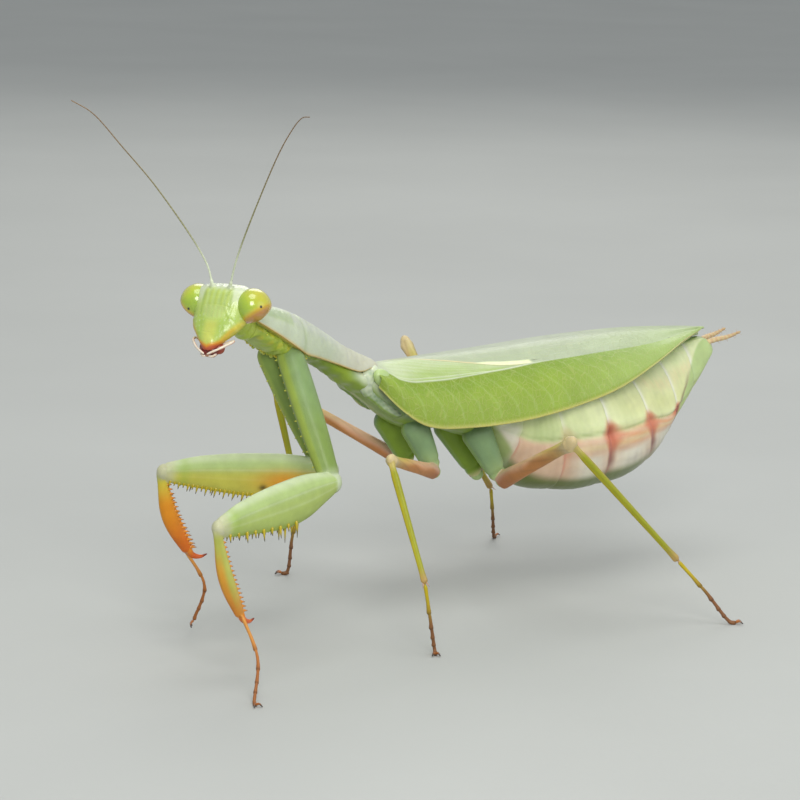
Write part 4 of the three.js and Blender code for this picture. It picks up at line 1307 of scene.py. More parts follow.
@dataclass
class Trunk:
    """One skin over the neck, the front breast, the thorax and the abdomen."""

    breast_half: Profile = Profile((-1.5, 2.6), (0, 2.4), (2.5, 1.9), (6, 1.4), (10, 1.6), (14, 2.2),
        (18, 1.9), (21, 1.3))
    breast_belly: Profile = Profile((-1.5, -4.3), (0, -4.1), (3.6, -3.7), (7, -3.2), (10, -3), (14, -3.9),
        (17.6, -3.7), (19.5, -3.1), (21, -2.7))
    chest_half: Profile = Profile((-0.9, 2.2), (1, 2.7), (4, 3.6), (8, 3.8), (12, 3.9), (14, 3.9))
    chest_top: Profile = Profile((-0.9, 24.6), (1, 24.5), (4, 24.2), (8, 24.1), (12, 24), (14, 23.9))
    chest_belly: Profile = Profile((-0.9, 22.5), (1, 20.6), (4, 18.8), (8, 18.4), (11, 17.4), (14, 16.5))
    waist: float = 7.6
    strip: tuple[Triple, ...] = ((-1.2, 1.7, 25.8), (-1.8, 2.15, 25.0), (-1.9, 2.2, 24.1),
        (-1.3, 2.0, 23.3), (-0.4, 2.0, 22.5), (0.8, 2.2, 21.6), (2.3, 2.6, 20.7))
    axis: tuple[tuple[float, float], ...] = ((14.2, 20.2), (20.5, 17.9), (28.5, 17.2), (36, 18.6),
        (41.8, 21.2), (46.4, 24.2))
    joints: tuple[float, ...] = (0, 0.077, 0.213, 0.385, 0.572, 0.728, 0.85, 1.02)
    fold: Profile = Profile((0, -0.45), (0.09, -0.28), (0.27, -0.09), (0.4, -0.03), (0.5, -0.03),
        (0.59, -0.08), (0.72, -0.4), (1, -0.55))
    half: Profile = Profile((0, 3.9), (0.12, 5.2), (0.3, 6.5), (0.43, 6.6), (0.55, 5.9), (0.65, 4.8),
        (0.84, 2.7), (1, 1))
    back: Profile = Profile((0, 3.5), (0.1, 4.7), (0.2, 5.8), (0.43, 6.6), (0.65, 5.6), (0.76, 4.9),
        (0.84, 4.1), (0.93, 2.7), (1, 1.1))
    belly: Profile = Profile((0, 3.7), (0.05, 5), (0.11, 6.5), (0.2, 7.1), (0.35, 7.1), (0.45, 6.9),
        (0.55, 6.3), (0.65, 4.8), (0.75, 3.1), (0.84, 2.1), (0.93, 1.3), (1, 0.8))
    lean: Profile = Profile((0, 0), (0.12, 0.4), (0.45, 0.42), (0.7, 0.25), (1, 0))
    sides: int = 160
    warts: int = 46

    def build(self) -> list[Piece]:
        """Makes the whole trunk.

        Returns:
            Its object.
        """
        angle = angles(self.sides)
        parts = [self.neck(angle), self.breast(angle), self.chest(angle), self.abdomen(angle)]
        rings, tints = parts[0]
        for more, colours in parts[1:]:
            share = ramp(np.arange(1, 12) / 12, 0, 1)[:, None, None]
            rings = np.concatenate([rings, rings[-1] * (1 - share) + more[0] * share, more])
            tints = np.concatenate([tints, tints[-1] * (1 - share) + colours[0] * share, colours])
        skin = Skin("trunk")
        skin.tube(rings, rings[0].mean(axis=0), rings[-1].mean(axis=0), tints)
        for side in Side:
            self.add_strip(skin, side)
        self.add_warts(skin)
        nodes = [f"abdomen_{number}" for number in range(1, 8)]
        return [skin.build(BELLY, "abdomen_skin", "neck", "prosternum", "mesothorax", "metathorax", *nodes)]

    def neck(self, angle: Array) -> tuple[Array, Array]:
        """The soft neck, from inside the head back to the shield.

        Args:
            angle: Radians round each ring.

        Returns:
            Rings and their colours.
        """
        path = Path(SKULL.at(0, -0.6, -0.3), CHEST.at(0, -2.5, 20.2))
        share = np.linspace(0, 1, 50)
        fold = 1 + 0.045 * np.cos(TURN * 4.5 * share)[:, None]
        across, rise = oval(angle, 1.35 * fold, 1.25 * fold, 1.25 * fold, 0.95)
        rings = path.point(share)[:, None] + across[..., None] * CHEST.left + rise[..., None] * CHEST.up
        tint = blend(Tone.YELLOW_GREEN, Tone.MOSS, 0.5 * np.sin(angle) ** 2 + 0 * fold) * 1.15
        return rings, tint

    def breast(self, angle: Array) -> tuple[Array, Array]:
        """The flesh under the shield.

        Args:
            angle: Radians round each ring.

        Returns:
            Rings and their colours.
        """
        place = np.linspace(19.6, 1.0, 150)[:, None]
        rise = np.sin(angle)
        low = ramp(rise, 0.3, -0.6)
        blotch = np.cos(2.9 * place + 1.3 * angle) * np.cos(2.1 * place - 2.2 * angle)
        return self.breast_surface(place, angle), paint(
            blend(Tone.MOSS, Tone.WING_LEAF, 0.35 * low + 0 * place) * 0.95,
            (Tone.PALE_GREEN, 0.4 * ramp(blotch, 0.2, 0.9) * ramp(place, 9, 12)),
            (Tone.YELLOW_GREEN, 0.6 * ramp(place, 11, 15) + 0 * angle),
            (Tone.YELLOW, 0.35 * ramp(-blotch, 0.3, 0.9) * ramp(place, 11, 14)),
            (Tone.YELLOW_GREEN, 0.5 * ramp(place, 7, 3) + 0 * angle),
            (Tone.WING_LEAF, 0.8 * ramp(place, 6, 2) * low),
            (Tone.BLUE_GREEN, 0.7 * ramp(place, 5.4, 3.4) * (1 - low)),
            (Tone.WHITE_GREEN, 0.9 * ramp(place, 4.4, 2.4) * (1 - low)),
        )

    def breast_surface(self, place: Array, angle: Array) -> Array:
        """Points on the breast.

        Args:
            place: Distance forward along the shield.
            angle: Radians round the ring.

        Returns:
            One point for each place and angle.
        """
        top = -1.7 + 0 * place
        middle = (top + self.breast_belly(place)) / 2
        reach = (top - self.breast_belly(place)) / 2
        across, rise = oval(angle, self.breast_half(place), reach, reach, 0.88)
        low = ramp(np.sin(angle), 0.3, -0.6)
        fold = 0.06 * low * np.cos(TURN * place / 2.1) * ramp(place, 13, 10)
        keel = 0.12 * bump(across, 0, 0.3) * low * ramp(place, 12, 9)
        pit = 0.35 * bump(place, 14.3, 1.3) * bump(np.abs(np.cos(angle)), 1, 0.3)
        lumps = np.cos(2.1 * place + 3 * angle) + np.cos(4.7 * place - 5 * angle) * np.cos(1.3 * place)
        lumps = ((0.035 * lumps + 0.02 * np.cos(8.3 * place + 2 * angle) * np.cos(6 * angle))
            * ramp(place, 9, 12))
        return CHEST.at(across * (1 - pit / 2.2 + lumps), middle + rise * (1 + lumps) - fold - keel,
            place + 0 * angle)

    def add_warts(self, skin: Skin) -> None:
        """Adds small yellow warts under the front of the breast.

        Args:
            skin: The trunk's skin.
        """
        axes = (CHEST.left, CHEST.up, CHEST.forward)
        for number in range(self.warts):
            place = 11.5 + 7.8 * (0.618 * number % 1)
            angle = np.pi * (1 + (0.382 * number + 0.07 * np.sin(number)) % 1)
            centre = self.breast_surface(np.array([[place]]), np.array([[angle]]))[0, 0]
            size = 0.16 + 0.07 * np.cos(1.7 * number)
            skin.ball(centre, axes, (size, size, size),
                blend(Tone.YELLOW_GREEN, Tone.YELLOW, 0.5 + 0.5 * np.cos(number)), 10)

    def chest(self, angle: Array) -> tuple[Array, Array]:
        """The two rear rings of the thorax, with their side plates.

        Args:
            angle: Radians round each ring.

        Returns:
            Rings and their colours.
        """
        x = np.linspace(0.4, 13.4, 140)[:, None]
        middle = (self.chest_top(x) + self.chest_belly(x)) / 2
        reach = (self.chest_top(x) - self.chest_belly(x)) / 2
        rise = np.sin(angle)
        flank = ramp(np.abs(np.cos(angle)), 0.35, 0.7)
        slant = x - 1.4 * rise
        seams = sum(bump(slant, at, 0.16) for at in (3.3, 5.6, 10.2, 12.1)) * flank
        parting = bump(x, self.waist, 0.3) + 0 * angle
        relief = (-0.22 * seams - 0.3 * parting + 0.16 * flank
            * (bump(slant, 4.45, 0.7) + bump(slant, 11.1, 0.7)))
        relief = relief + 0.35 * ramp(rise, -0.2, -0.8) * (bump(x, 4.4, 1.5) + bump(x, 12, 1.5)) * flank
        across, height = oval(angle, self.chest_half(x) + relief, reach + relief, reach + relief, 0.85)
        rings = np.stack([x + 0 * angle, -across, middle + height], axis=-1)
        return rings, paint(
            Tone.WING_LEAF,
            (Tone.BLUE_GREEN, 0.75 * ramp(rise, -0.75, -0.3) * ramp(x, 6, 4)),
            (Tone.WHITE_GREEN, 0.5 * ramp(x - 1.2 * rise, 1.5, 0.2) * ramp(rise, -0.5, 0)),
            (Tone.WHITE_GREEN, np.clip(0.3 * seams, 0, 1) * ramp(x, 5, 4)),
            (Tone.LEAF, 0.6 * ramp(x, 4.5, 6) + 0 * rise),
        )

    def add_strip(self, skin: Skin, side: Side) -> None:
        """Adds the puckered pale membrane in front of a wing's root.

        Args:
            skin: The trunk's skin.
            side: Which side of the body it is on.
        """
        out = np.array([0.0, -side.value, 0.0])
        path = Path(*(np.array([x, 0, z]) + y * out for x, y, z in self.strip))
        wide = Profile((0, 0.7), (0.25, 0.9), (0.5, 0.6), (0.85, 0.6), (1, 0.5))
        thick = Profile((0, 0.5), (0.4, 0.5), (0.7, 0.36), (1, 0.3))
        shape = sweep(path, out, wide, thick, sides=64, steps=170,
            relief=lambda s, a: 0.045 * self.pucker(s, a))
        pale = 0.3 + 0.35 * self.pucker(shape.share, shape.angle) + 0.4 * ramp(shape.share, 0.5, 0.15)
        tint = blend(Tone.BLUE_GREEN, Tone.WHITE_GREEN, np.clip(pale, 0, 1))
        tint = blend(tint, Tone.WING_LEAF, 0.85 * ramp(side.value * shape.across, 0.5, 0.85)
            * ramp(shape.share, 0.25, 0.4))
        skin.limb(shape, tint)
        axes = (np.array([0.8, 0.0, -0.6]), out, np.array([0.6, 0.0, 0.8]))
        skin.ball(np.array([-0.35, 0, 24.9]) + 2.7 * out, axes, (1.15, 0.62, 0.85), Tone.PALE_GREEN, 28)
        skin.ball(np.array([-1.0, 0, 25.6]) + 2.0 * out, axes, (0.7, 0.5, 0.6), Tone.WHITE_GREEN, 24)

    @staticmethod
    def pucker(share: Array, angle: Array) -> Array:
        """Uneven folds of slack skin, from about -1 to 1."""
        broad = np.cos(21 * share + 1.5 * np.sin(2 * angle)) * np.cos(33 * share - 2 * angle)
        return (0.5 * broad + 0.3 * np.cos(61 * share + 4 * angle) * np.cos(5 * angle - 27 * share)
            + 0.2 * np.cos(90 * share))

    def abdomen(self, angle: Array) -> tuple[Array, Array]:
        """The swollen abdomen, its plates a little wider towards their rear edges.

        Args:
            angle: Radians round each ring.

        Returns:
            Rings and their colours.
        """
        path = Path(*((x, 0, z) for x, z in self.axis))
        share = np.linspace(0.02, 0.992, 480)[:, None]
        tangent = path.tangent(share[:, 0])
        up = np.stack([-tangent[:, 2], 0 * tangent[:, 1], tangent[:, 0]], axis=-1)
        up = up - tangent * self.lean(share)
        rise = np.sin(angle)
        part = part_of(self.joints, share - 0.05 * rise * ramp(share, 0.2, 0.42))
        flank = self.flank(angle, share)
        size = np.clip(self.half(share) / 6.6, 0.25, 1)
        step = ((0.14 * (part - 0.55) - 0.08 * bump(part, 0, 0.07) - 0.04 * bump(part, 1, 0.03))
            * (0.5 + 0.5 * ramp(flank, -0.15, 0.05)))
        pillow = 0.14 * np.sin(np.pi * np.clip(part, 0, 1)) * ramp(np.abs(rise), 0, 0.5)
        fold = (-0.2 * bump(flank, 0, 0.04) + 0.12 * bump(flank, 0.12, 0.08)
            + 0.12 * bump(flank, -0.14, 0.09))
        notch = -0.14 * bump(part, 0, 0.1) * bump(flank, 0, 0.14)
        creases = (0.012 * np.cos(9 * part + 5 * rise) * np.cos(23 * part - 7 * rise)
            + 0.02 * np.cos(31 * flank + 3 * part) * ramp(flank, 0, -0.1))
        relief = size * (step + pillow + fold + notch + creases)
        taper = rounded((1 - share) / 0.03)
        across, height = oval(angle, (self.half(share) + relief) * taper, (self.back(share) + relief)
            * taper, (self.belly(share) + relief) * taper, 0.95)
        rings = path.point(share[:, 0])[:, None] + height[..., None] * up[:, None]
        rings = rings - across[..., None] * np.array([0.0, 1.0, 0.0])
        return rings, self.abdomen_tints(angle, share, part, flank)

    def flank(self, angle: Array, share: Array) -> Array:
        """Height over the fold that runs along the flank."""
        return np.sin(angle) - self.fold(share)

    def abdomen_tints(self, angle: Array, share: Array, part: Array, flank: Array) -> Array:
        """The abdomen's colours: green back, whitish side, rosy marks at the joints, painted highlights and
        shade below.

        Args:
            angle: Radians round each ring.
            share: Share of the length.
            part: How far along its plate each point lies.
            flank: Height over the fold along the side.

        Returns:
            One colour for each point.
        """
        rise = np.sin(angle) + 0 * share
        later = ramp(share, 0.15, 0.3) * ramp(share, 0.93, 0.85)
        pleat = (0.5 + 0.3 * np.cos(11 * part + 6 * rise) * np.cos(5 * part - 9 * rise)
            + 0.2 * np.cos(43 * part + 4 * rise))
        # The underside's mask: the belly's own green, darkened further there as painted shade.
        under = ramp(rise + 0.12 * ramp(share, 0.42, 0.2), -0.55, -0.72)
        first = ramp(share, 0.09, 0.06)
        wave = 0.5 + 0.5 * np.cos(55 * flank + 9 * part)
        near = np.where(part > 0.5, 2.2 * (1 - part), part)
        drop = np.abs(flank + 0.03)
        wedge = ramp(near, 0.5 - 1.5 * drop, 0.08) * ramp(drop, 0.28, 0.12) * later
        strong = ramp(share, 0.3, 0.38)
        tail = share - 0.755 - 0.19 * (rise + 0.26)
        return paint(
            Tone.MILK,
            (Tone.PALE_GREEN, 0.15 + 0.14 * pleat + 0.4 * ramp(share, 0.35, 0.15)
                + 0.15 * bump(part, 0.5, 0.3)),
            (Tone.YELLOW, 0.08 * bump(flank, 0.35, 0.4) + 0.14 * bump(flank, 0.35, 0.3)
                * ramp(share, 0.35, 0.6)),
            (Tone.PEACH, 0.25 * bump(flank, 0.8, 0.2) * ramp(share, 0.55, 0.68)
                * (0.4 + 0.6 * (1 - pleat))),
            (Tone.LEAF, 0.8 * ramp(rise, 0.85, 0.97)),
            (Tone.PINK, 0.8 * ramp(flank, 0.02, -0.06)),
            (Tone.TAN, 0.25 * ramp(flank, 0, -0.1) * (1 - pleat)),
            # White on the middle of each plate below the fold: painted highlights on the bulges.
            (Tone.WHITE, 0.8 * ramp(flank, -0.22, -0.36) * np.clip(np.sin(np.pi * part), 0, 1) ** 0.7
                * ramp(share, 0.2, 0.3)),
            # Underside: its own green at half brightness, partly painted shade under the body.
            (Tone.WING_LEAF.rgb * 0.5, 0.92 * under * ramp(share, 0.66, 0.45)),
            (Tone.WHITE, 0.8 * first * ramp(flank, 0.3, 0.1)),
            (Tone.LEAF, 0.8 * first * ramp(rise + 3 * (share - 0.05), -0.45, -0.6)),
            (Tone.WHITE.rgb * 1.1, 0.9 * bump(part, 0.02, 0.06) * ramp(flank, 0.06, 0.2)
                * ramp(share, 0.1, 0.3)),
            (Tone.PEACH, 0.9 * bump(flank, -0.12, 0.13) * later * (0.3 + 0.7 * wave)
                * ramp(share, 0.35, 0.42)),
            (Tone.CREAM, 0.5 * bump(flank, -0.16, 0.05) * later),
            (Tone.LEAF, 0.4 * bump(flank, 0.03, 0.02) * ramp(share, 0.1, 0.2)),
            (Tone.SALMON, (0.45 + 0.45 * strong) * wedge),
            (Tone.RED.rgb * 0.7, 0.85 * strong * ramp(near, 0.15, 0.03) * bump(flank, 0, 0.14)
                * ramp(share, 0.5, 0.42)),
            (Tone.SALMON, 0.8 * ramp(near, 0.16, 0.02) * bump(flank, -0.2, 0.22) * later),
            (Tone.BLUSH, 0.5 * ramp(near, 0.06, 0.01) * ramp(flank, 0, -0.1) * ramp(rise, -0.85, -0.6)),
            (Tone.PLUM, 0.7 * ramp(near, 0.17, 0.02) * bump(flank, -0.42, 0.2) * strong),
            # Plum low on the flank: painted shade.
            (Tone.PLUM, 0.22 * ramp(flank, -0.3, -0.5) * ramp(share, 0.36, 0.5) * (1 - pleat)),
            (Tone.PLUM, 0.7 * bump(tail, 0, 0.012) * ramp(rise, 0.3, -0.1)),
            (Tone.PALE_GREEN, 0.9 * ramp(tail, 0, 0.02)),
        )


@dataclass
class Cerci(Pair):
    """The two short tail feelers."""

    stops: tuple[Triple, ...] = ((45.0, 0.45, 24.2), (46.4, 0.8, 24.65), (48.1, 1.1, 24.9),
        (49.9, 1.3, 25.4))
    size: Profile = Profile((0, 0.36), (0.5, 0.32), (1, 0.14))
    rings: int = 9
    hairs: int = 26

    def build_one(self, side: Side) -> Piece:
        """Makes one, of beaded joints with a few stiff hairs.

        Args:
            side: Which side it is on.

        Returns:
            Its object.
        """
        skin = Skin(f"{side.word}_cercus")
        path = Path(*((x, -side.value * y, z) for x, y, z in self.stops))
        shape = sweep(path, UP, self.size, self.size.scaled(0.85), sides=20, steps=120,
            relief=lambda s, a: 0.035 * np.sin(np.pi * self.rings * s) ** 2 - 0.02)
        tint = blend(Tone.TAN, Tone.BONE, 0.5 + 0.5 * np.sin(np.pi * self.rings * shape.share) ** 2)
        skin.limb(shape, blend(tint, Tone.BROWN, 0.3 * ramp(shape.share, 0.5, 1)))
        for number in range(self.hairs):
            share = 0.15 + 0.8 * number / self.hairs
            turn = 2.4 * number
            out = np.array([0.5, np.cos(turn), np.sin(turn)])
            root = path.point(share) + 0.7 * self.size(share) * out
            skin.spike(root, root + 0.42 * unit(out), 0.018, Tone.TAN, Tone.BROWN, 5)
        return skin.build(LIMB, "cercus_tan", f"cercus_{side.word}")


# ---------------- wings


@dataclass
class Forewings(Pair):
    """The two leathery wings that lie folded over the back, the left one on top."""

    root: float = -1.0
    length: float = 46.0
    thickness: float = 0.2
    drop: float = 0.75
    costa_out: Profile = Profile((0, 3.1), (2, 4.6), (4.5, 5.7), (9, 6.4), (16, 7.1), (23, 7.4), (29, 7.2),
        (35, 6.1), (40, 4.2), (46, 0.6))
    costa_up: Profile = Profile((0, 24.1), (2, 21.6), (4.5, 19.9), (9, 19.4), (16, 19.6), (23, 20.6),
        (29, 22), (35, 24.1), (40, 25.6), (46, 26.1))
    vein_out: Profile = Profile((0, 2.6), (6, 3.9), (16, 4.5), (26, 4.7), (36, 3.9), (42, 2.0), (46, 0.4))
    vein_up: Profile = Profile((0, 25.4), (6, 24.6), (16, 24.2), (26, 24.8), (36, 25.7), (42, 26.1),
        (46, 26.15))
    ridge_up: Profile = Profile((0, 25.95), (8, 26.05), (16, 26.15), (26, 26.5), (36, 26.6), (46, 26.2))
    overlap: Profile = Profile((0, 0.3), (10, 1.4), (22, 2.3), (34, 2.2), (42, 1.4), (46, 0.5))
    field_edge: Profile = Profile((0, 0.47), (1.2, 0.42), (2.2, 0.33), (5.7, 0.356), (8.2, 0.376),
        (12.2, 0.423), (14.9, 0.45), (19.8, 0.487), (24, 0.48), (28.4, 0.463), (33, 0.425), (38.6, 0.385),
        (46, 0.36))
    fold_line: Profile = Profile((0, 1.1), (3, 1.0), (6.5, 0.772), (9.8, 0.664), (13.2, 0.577),
        (15.4, 0.525), (19.3, 0.492), (24, 0.484))
    rows: int = 400
    columns: int = 176

    def middle(self, side: Side) -> tuple[Array, Array, Array]:
        """The wing's middle surface.

        Args:
            side: Which wing.

        Returns:
            Its points, and the distance along and the share across of each.
        """
        share = 0.5 - 0.5 * np.cos(np.pi * np.linspace(0.0, 1.0, self.rows))
        d = share * self.length
        over = side is Side.LEFT
        drop = 0.0 if over else self.drop
        sink = drop * share**2
        inner = self.overlap(d) * (1 if over else -0.6)
        zero = np.zeros_like(d)
        costa = np.stack([zero, self.costa_out(d), self.costa_up(d) - sink], axis=-1)
        vein = np.stack([zero, self.vein_out(d), self.vein_up(d) - sink], axis=-1)
        ridge = np.stack([zero, zero + 0.9, self.ridge_up(d) - drop], axis=-1)
        edge = np.stack([zero, -inner if over else inner, self.ridge_up(d) - drop - 0.1], axis=-1)
        bulge = (costa + vein) / 2 + np.array([0, 0.8, 0.45]) * (0.7 * (1 - share) + 0.1)[:, None]
        shoulder = (vein + ridge) / 2 + np.array([0, 0, 0.12])
        stops = np.stack([costa, bulge, vein, shoulder, ridge, edge], axis=1)
        across = np.linspace(0, 1, self.columns)
        rows = np.stack([Path.spline(row, across) for row in stops])
        close = rounded((self.length - d) / 1.6)[:, None]
        anchor = (costa * 0.35 + vein * 0.65)[:, None]
        rows[..., 1:] = (anchor[..., 1:] + (rows[..., 1:] - anchor[..., 1:])
            * (0.12 + 0.88 * close[..., None]))
        rows[..., 0] = self.root + d[:, None]
        rows[..., 1] *= -side.value
        return (rows, np.broadcast_to(d[:, None], rows.shape[:2]),
            np.broadcast_to(across[None, :], rows.shape[:2]))

    def veins(self, d: Array, q: Array) -> tuple[Array, Array, Array]:
        """Where the wing's veins run.

        Args:
            d: Distance from the root.
            q: Share across, from the outer rim at 0 to the inner edge at 1.

        Returns:
            Strengths of the rim, of the strong veins and of the fine ones.
        """
        edge = self.field_edge(d)
        rim = bump(q, 0, 0.022)
        near = ramp(d, 0.5, 2.5)
        strong = (near * bump(q - edge - 0.006, 0, 0.006)
            + near * 0.8 * bump(q - edge - 0.034 * ramp(d, 16, 10), 0, 0.006))
        strong = strong * ramp(d, 24, 16)
        fine = np.zeros_like(d)
        for start, bend in ((0.53, 0.03), (0.6, 0.0), (0.68, -0.02), (0.77, -0.03), (0.87, -0.03)):
            line = (start + bend * np.sin(np.pi * d / self.length)) * (1 + 0.08 * ramp(d, 20, 46))
            fine = np.maximum(fine, 0.5 * bump(q - line, 0, 0.005)
                * ramp(q, self.fold_line(d), self.fold_line(d) + 0.03))
        slant = d / 2.1 - 3.0 * (edge - q) - 0.35 * np.sin(9 * q)
        oblique = ((0.5 + 0.5 * np.cos(TURN * slant)) ** 30 * ramp(q, edge, edge - 0.02)
            * ramp(q, 0.03, 0.08))
        fine = np.maximum(fine, 0.6 * oblique)
        return rim, np.clip(strong, 0, 1), fine * ramp(d, 45, 41)

    def tints(self, d: Array, q: Array) -> tuple[Array, Array]:
        """The wing's colours: a green outer field, a whitish inner one, a cream spot between them and a
        painted shadow inside the rim.

        Args:
            d: Distance from the root.
            q: Share across.

        Returns:
            One colour for each point, and how far each lies in the outer field.
        """
        rim, strong, fine = self.veins(d, q)
        edge, fold = self.field_edge(d), self.fold_line(d)
        outer = ramp(q, edge + 0.008, edge - 0.008)
        lens = ramp(q, edge, edge + 0.01) * ramp(q, fold, fold - 0.01) * ramp(d, 19, 15)
        height = (q - edge) / np.maximum(fold - edge, 0.02)
        streak = np.cos(TURN * 2.4 * height + 0.5 * d) * np.cos(TURN * 3.7 * height - 0.33 * d)
        glass = blend(Tone.BRIGHT_LEAF, Tone.WHITE_GREEN, 0.3 + 0.12 * streak + 0.25 * ramp(height, 0.3, 1)
            + 0.3 * ramp(d, 6, 2))
        spot = (ramp(q, fold + 0.005, fold + 0.015) * ramp(q, fold + 0.075 * ramp(d, 11.5, 15),
            fold + 0.055 * ramp(d, 11.5, 15)))
        return paint(
            blend(Tone.GREY_GREEN, Tone.PALE_GREEN, 0.25 + 0.4 * ramp(d, 24, 42)
                + 0.15 * ramp(q, 0.9, 0.6)) * 0.86,
            (glass, lens * ramp(d, 0.8, 2.2)),
            (Tone.WING_LEAF, 0.97 * outer),
            (Tone.YELLOW_GREEN, 0.25 * outer * ramp(q, edge - 0.02, edge - 0.2)),
            (Tone.OLIVE, 0.3 * outer * ramp(q, edge - 0.07, edge - 0.01) * ramp(d, 26, 18)),
            (Tone.PALE_GREEN, 0.62 * outer * ramp(d, 18, 42)),
            (Tone.CREAM, 0.8 * bump(q - fold - 0.012, 0, 0.012) * ramp(d, 20, 17) * ramp(d, 1, 3)),
            (Tone.OLIVE, 0.4 * bump(q - fold + 0.004, 0, 0.006) * ramp(d, 20, 17) * ramp(d, 3, 6)),
            (Tone.MILK, 0.9 * spot * ramp(d, 11.5, 13) * ramp(d, 19.6, 19.2)),
            (Tone.DARK, 0.5 * bump(q - fold, 0.05, 0.008) * bump(d, 19.9, 0.45)),
            (Tone.WHITE_GREEN, 0.9 * strong),
            (Tone.PALE_GREEN, 0.36 * fine),
            # Dark olive band just inside the pale outer rim: painted shadow under the thick rim.
            (Tone.OLIVE, 0.45 * bump(q, 0.035, 0.015)),
            (Tone.STRAW, 0.6 * rim),
            (Tone.DARK, 0.6 * bump(q, 0.4, 0.012) * bump(d, 38.8, 0.25)),
        ), outer

    def build_one(self, side: Side) -> Piece:
        """Makes one wing.

        Args:
            side: Which wing.

        Returns:
            Its object.
        """
        rows, d, q = self.middle(side)
        rim, strong, fine = self.veins(d, q)
        thickness = self.thickness + 0.16 * rim + 0.16 * strong + 0.035 * fine
        tint, outer = self.tints(d, q)
        stretch = np.linalg.norm(np.diff(rows, axis=1, prepend=rows[:, :1]), axis=-1).cumsum(axis=1)
        chart = np.stack([d, 0.75 * stretch, 0 * d], axis=-1)
        net = 0.27 * outer + 0.16 * (1 - outer)
        skin = Skin(f"{side.word}_forewing")
        skin.slab(rows, thickness, tint, blend(tint, Tone.PALE_GREEN, 0.4 + 0 * d), net, chart)
        return skin.build(WING, "forewing_green", f"forewing_{side.word}")


@dataclass
class Hindwings(Pair):
    """The two thin wings that lie pleated under the forewings."""

    half: Profile = Profile((5, 2.4), (12, 3.3), (24, 3.7), (34, 2.7), (39, 1.2), (42.5, 0.4))
    height: Profile = Profile((5, 24.7), (16, 24.8), (28, 25.1), (38, 25.1), (42.5, 25.0))
    thickness: float = 0.16
    pleat: float = 0.42

    def build_one(self, side: Side) -> Piece:
        """Makes one wing as a fan of shallow pleats.

        Args:
            side: Which wing.

        Returns:
            Its object.
        """
        x = np.linspace(5.0, 42.5, 150)[:, None]
        q = np.linspace(0, 1, 90)[None, :]
        wave = np.cos(TURN * q * 9)
        out = 0.1 + (self.half(x) - 0.1) * q
        height = self.height(x) - 0.75 * q**2 + 0.07 * wave * ramp(q, 0, 0.1)
        rows = np.stack([x + 0 * q, -side.value * out, height], axis=-1)
        tint = blend(Tone.WHITE_GREEN, Tone.PALE_GREEN, 0.5 + 0.4 * wave + 0 * x)
        tint = blend(tint, Tone.YELLOW_GREEN, 0.6 * ramp(q, 0.93, 0.99) + 0 * x)
        chart = np.stack([(x + 0 * q) / 1.5, out, 0 * out], axis=-1)
        skin = Skin(f"{side.word}_hindwing")
        skin.slab(rows, self.thickness, tint, tint, 0.7 + 0 * out, chart)
        return skin.build(WING, "hindwing_pale", f"hindwing_{side.word}")


# ---------------- legs


@dataclass(frozen=True)
class Bone:
    """One segment's length and direction; without a rise it slopes down to its foot."""

    length: float
    heading: float
    rise: float | None = None

    def end(self, start: Array, foot_height: float = 0.0) -> Array:
        """Where the segment ends.

        Args:
            start: Where it starts.
            foot_height: The height of its end, if it has no rise of its own.

        Returns:
            Its other end.
        """
        rise = self.rise
        if rise is None:
            rise = -float(np.degrees(np.arcsin((start[2] - foot_height) / self.length)))
        return start + self.length * direction(self.heading, rise)


TARSUS_JOINTS = (0.0, 0.4, 0.6, 0.74, 0.84, 1.0)


def leg_nodes(name: str) -> list[str]:
    """The frame's nodes that one leg's skin stands for."""
    return [f"{part}_{name}" for part in ("coxa", "femur", "tibia", "tarsus")]


def between(start: Array, end: Array, short: float, short_end: float) -> Path:
    """A straight path that stops short of both ends by the given distances."""
    way = unit(end - start)
    return Path(start + short * way, end - short_end * way)


@dataclass
class Foot:
    """A five-jointed tarsus with two claws."""

    radius: float
    toe: float

    def add(self, skin: Skin, stops: list[Array], root: Tone, tip: Tone) -> None:
        """Adds the tarsus to a leg's skin.

        Args:
            skin: The leg's skin.
            stops: Its path from the ankle to the toe.
            root: Its colour at the ankle.
            tip: Its colour at the toe.
        """
        path = Path(*stops)

        def knuckles(share: Array, angle: Array) -> Array:
            """Each joint widens towards its end and is pinched at its start.

            Args:
                share: Share of the tarsus's length.
                angle: Radians round it.

            Returns:
                How far each point stands out.
            """
            part = part_of(TARSUS_JOINTS, share)
            heel = 0.22 * ramp(part, 0.6, 0.95) * ramp(part, 1.05, 0.97) * ramp(np.sin(angle), 0.2, -0.7)
            return self.radius * (0.16 * part**3 + heel - 0.15 * bump(part, 0, 0.08) - 0.2)

        size = Profile((0, 0.95), (0.3, 0.8), (1, 0.85)).scaled(self.radius)
        shape = sweep(path, UP + 0.2 * direction(self.toe, 0), size, size, sides=24, steps=150,
            relief=knuckles)
        part = part_of(TARSUS_JOINTS, shape.share)
        skin.limb(shape, paint(
            root,
            (tip, ramp(shape.share, 0.1, 0.6)),
            (Tone.BROWN, 0.5 * ramp(shape.share, 0.4, 0.8)),
            (Tone.DARK, 0.5 * ramp(part, 0.8, 1) * ramp(shape.share, 0.2, 0.5)),
        ))

    def add_claws(self, skin: Skin, foot: Array, way: Array) -> None:
        """Adds the two hooked claws.

        Args:
            skin: The piece that holds the leg's horn.
            foot: The toe.
            way: Where the toe points.
        """
        beside = unit(np.cross(UP + 0.01, way))
        above = np.cross(way, beside)
        for sign in (1, -1):
            path = Path(foot, foot + 0.35 * way + sign * 0.22 * beside + 0.14 * above, foot + 0.72 * way
                + sign * 0.42 * beside - 0.08 * above)
            size = Profile((0, 0.5 * self.radius), (0.5, 0.36 * self.radius), (1, 0.05))
            shape = sweep(path, above, size, size, sides=12, steps=24)
            skin.limb(shape, blend(Tone.RUST, Tone.DARK, ramp(shape.share, 0.3, 0.9)))


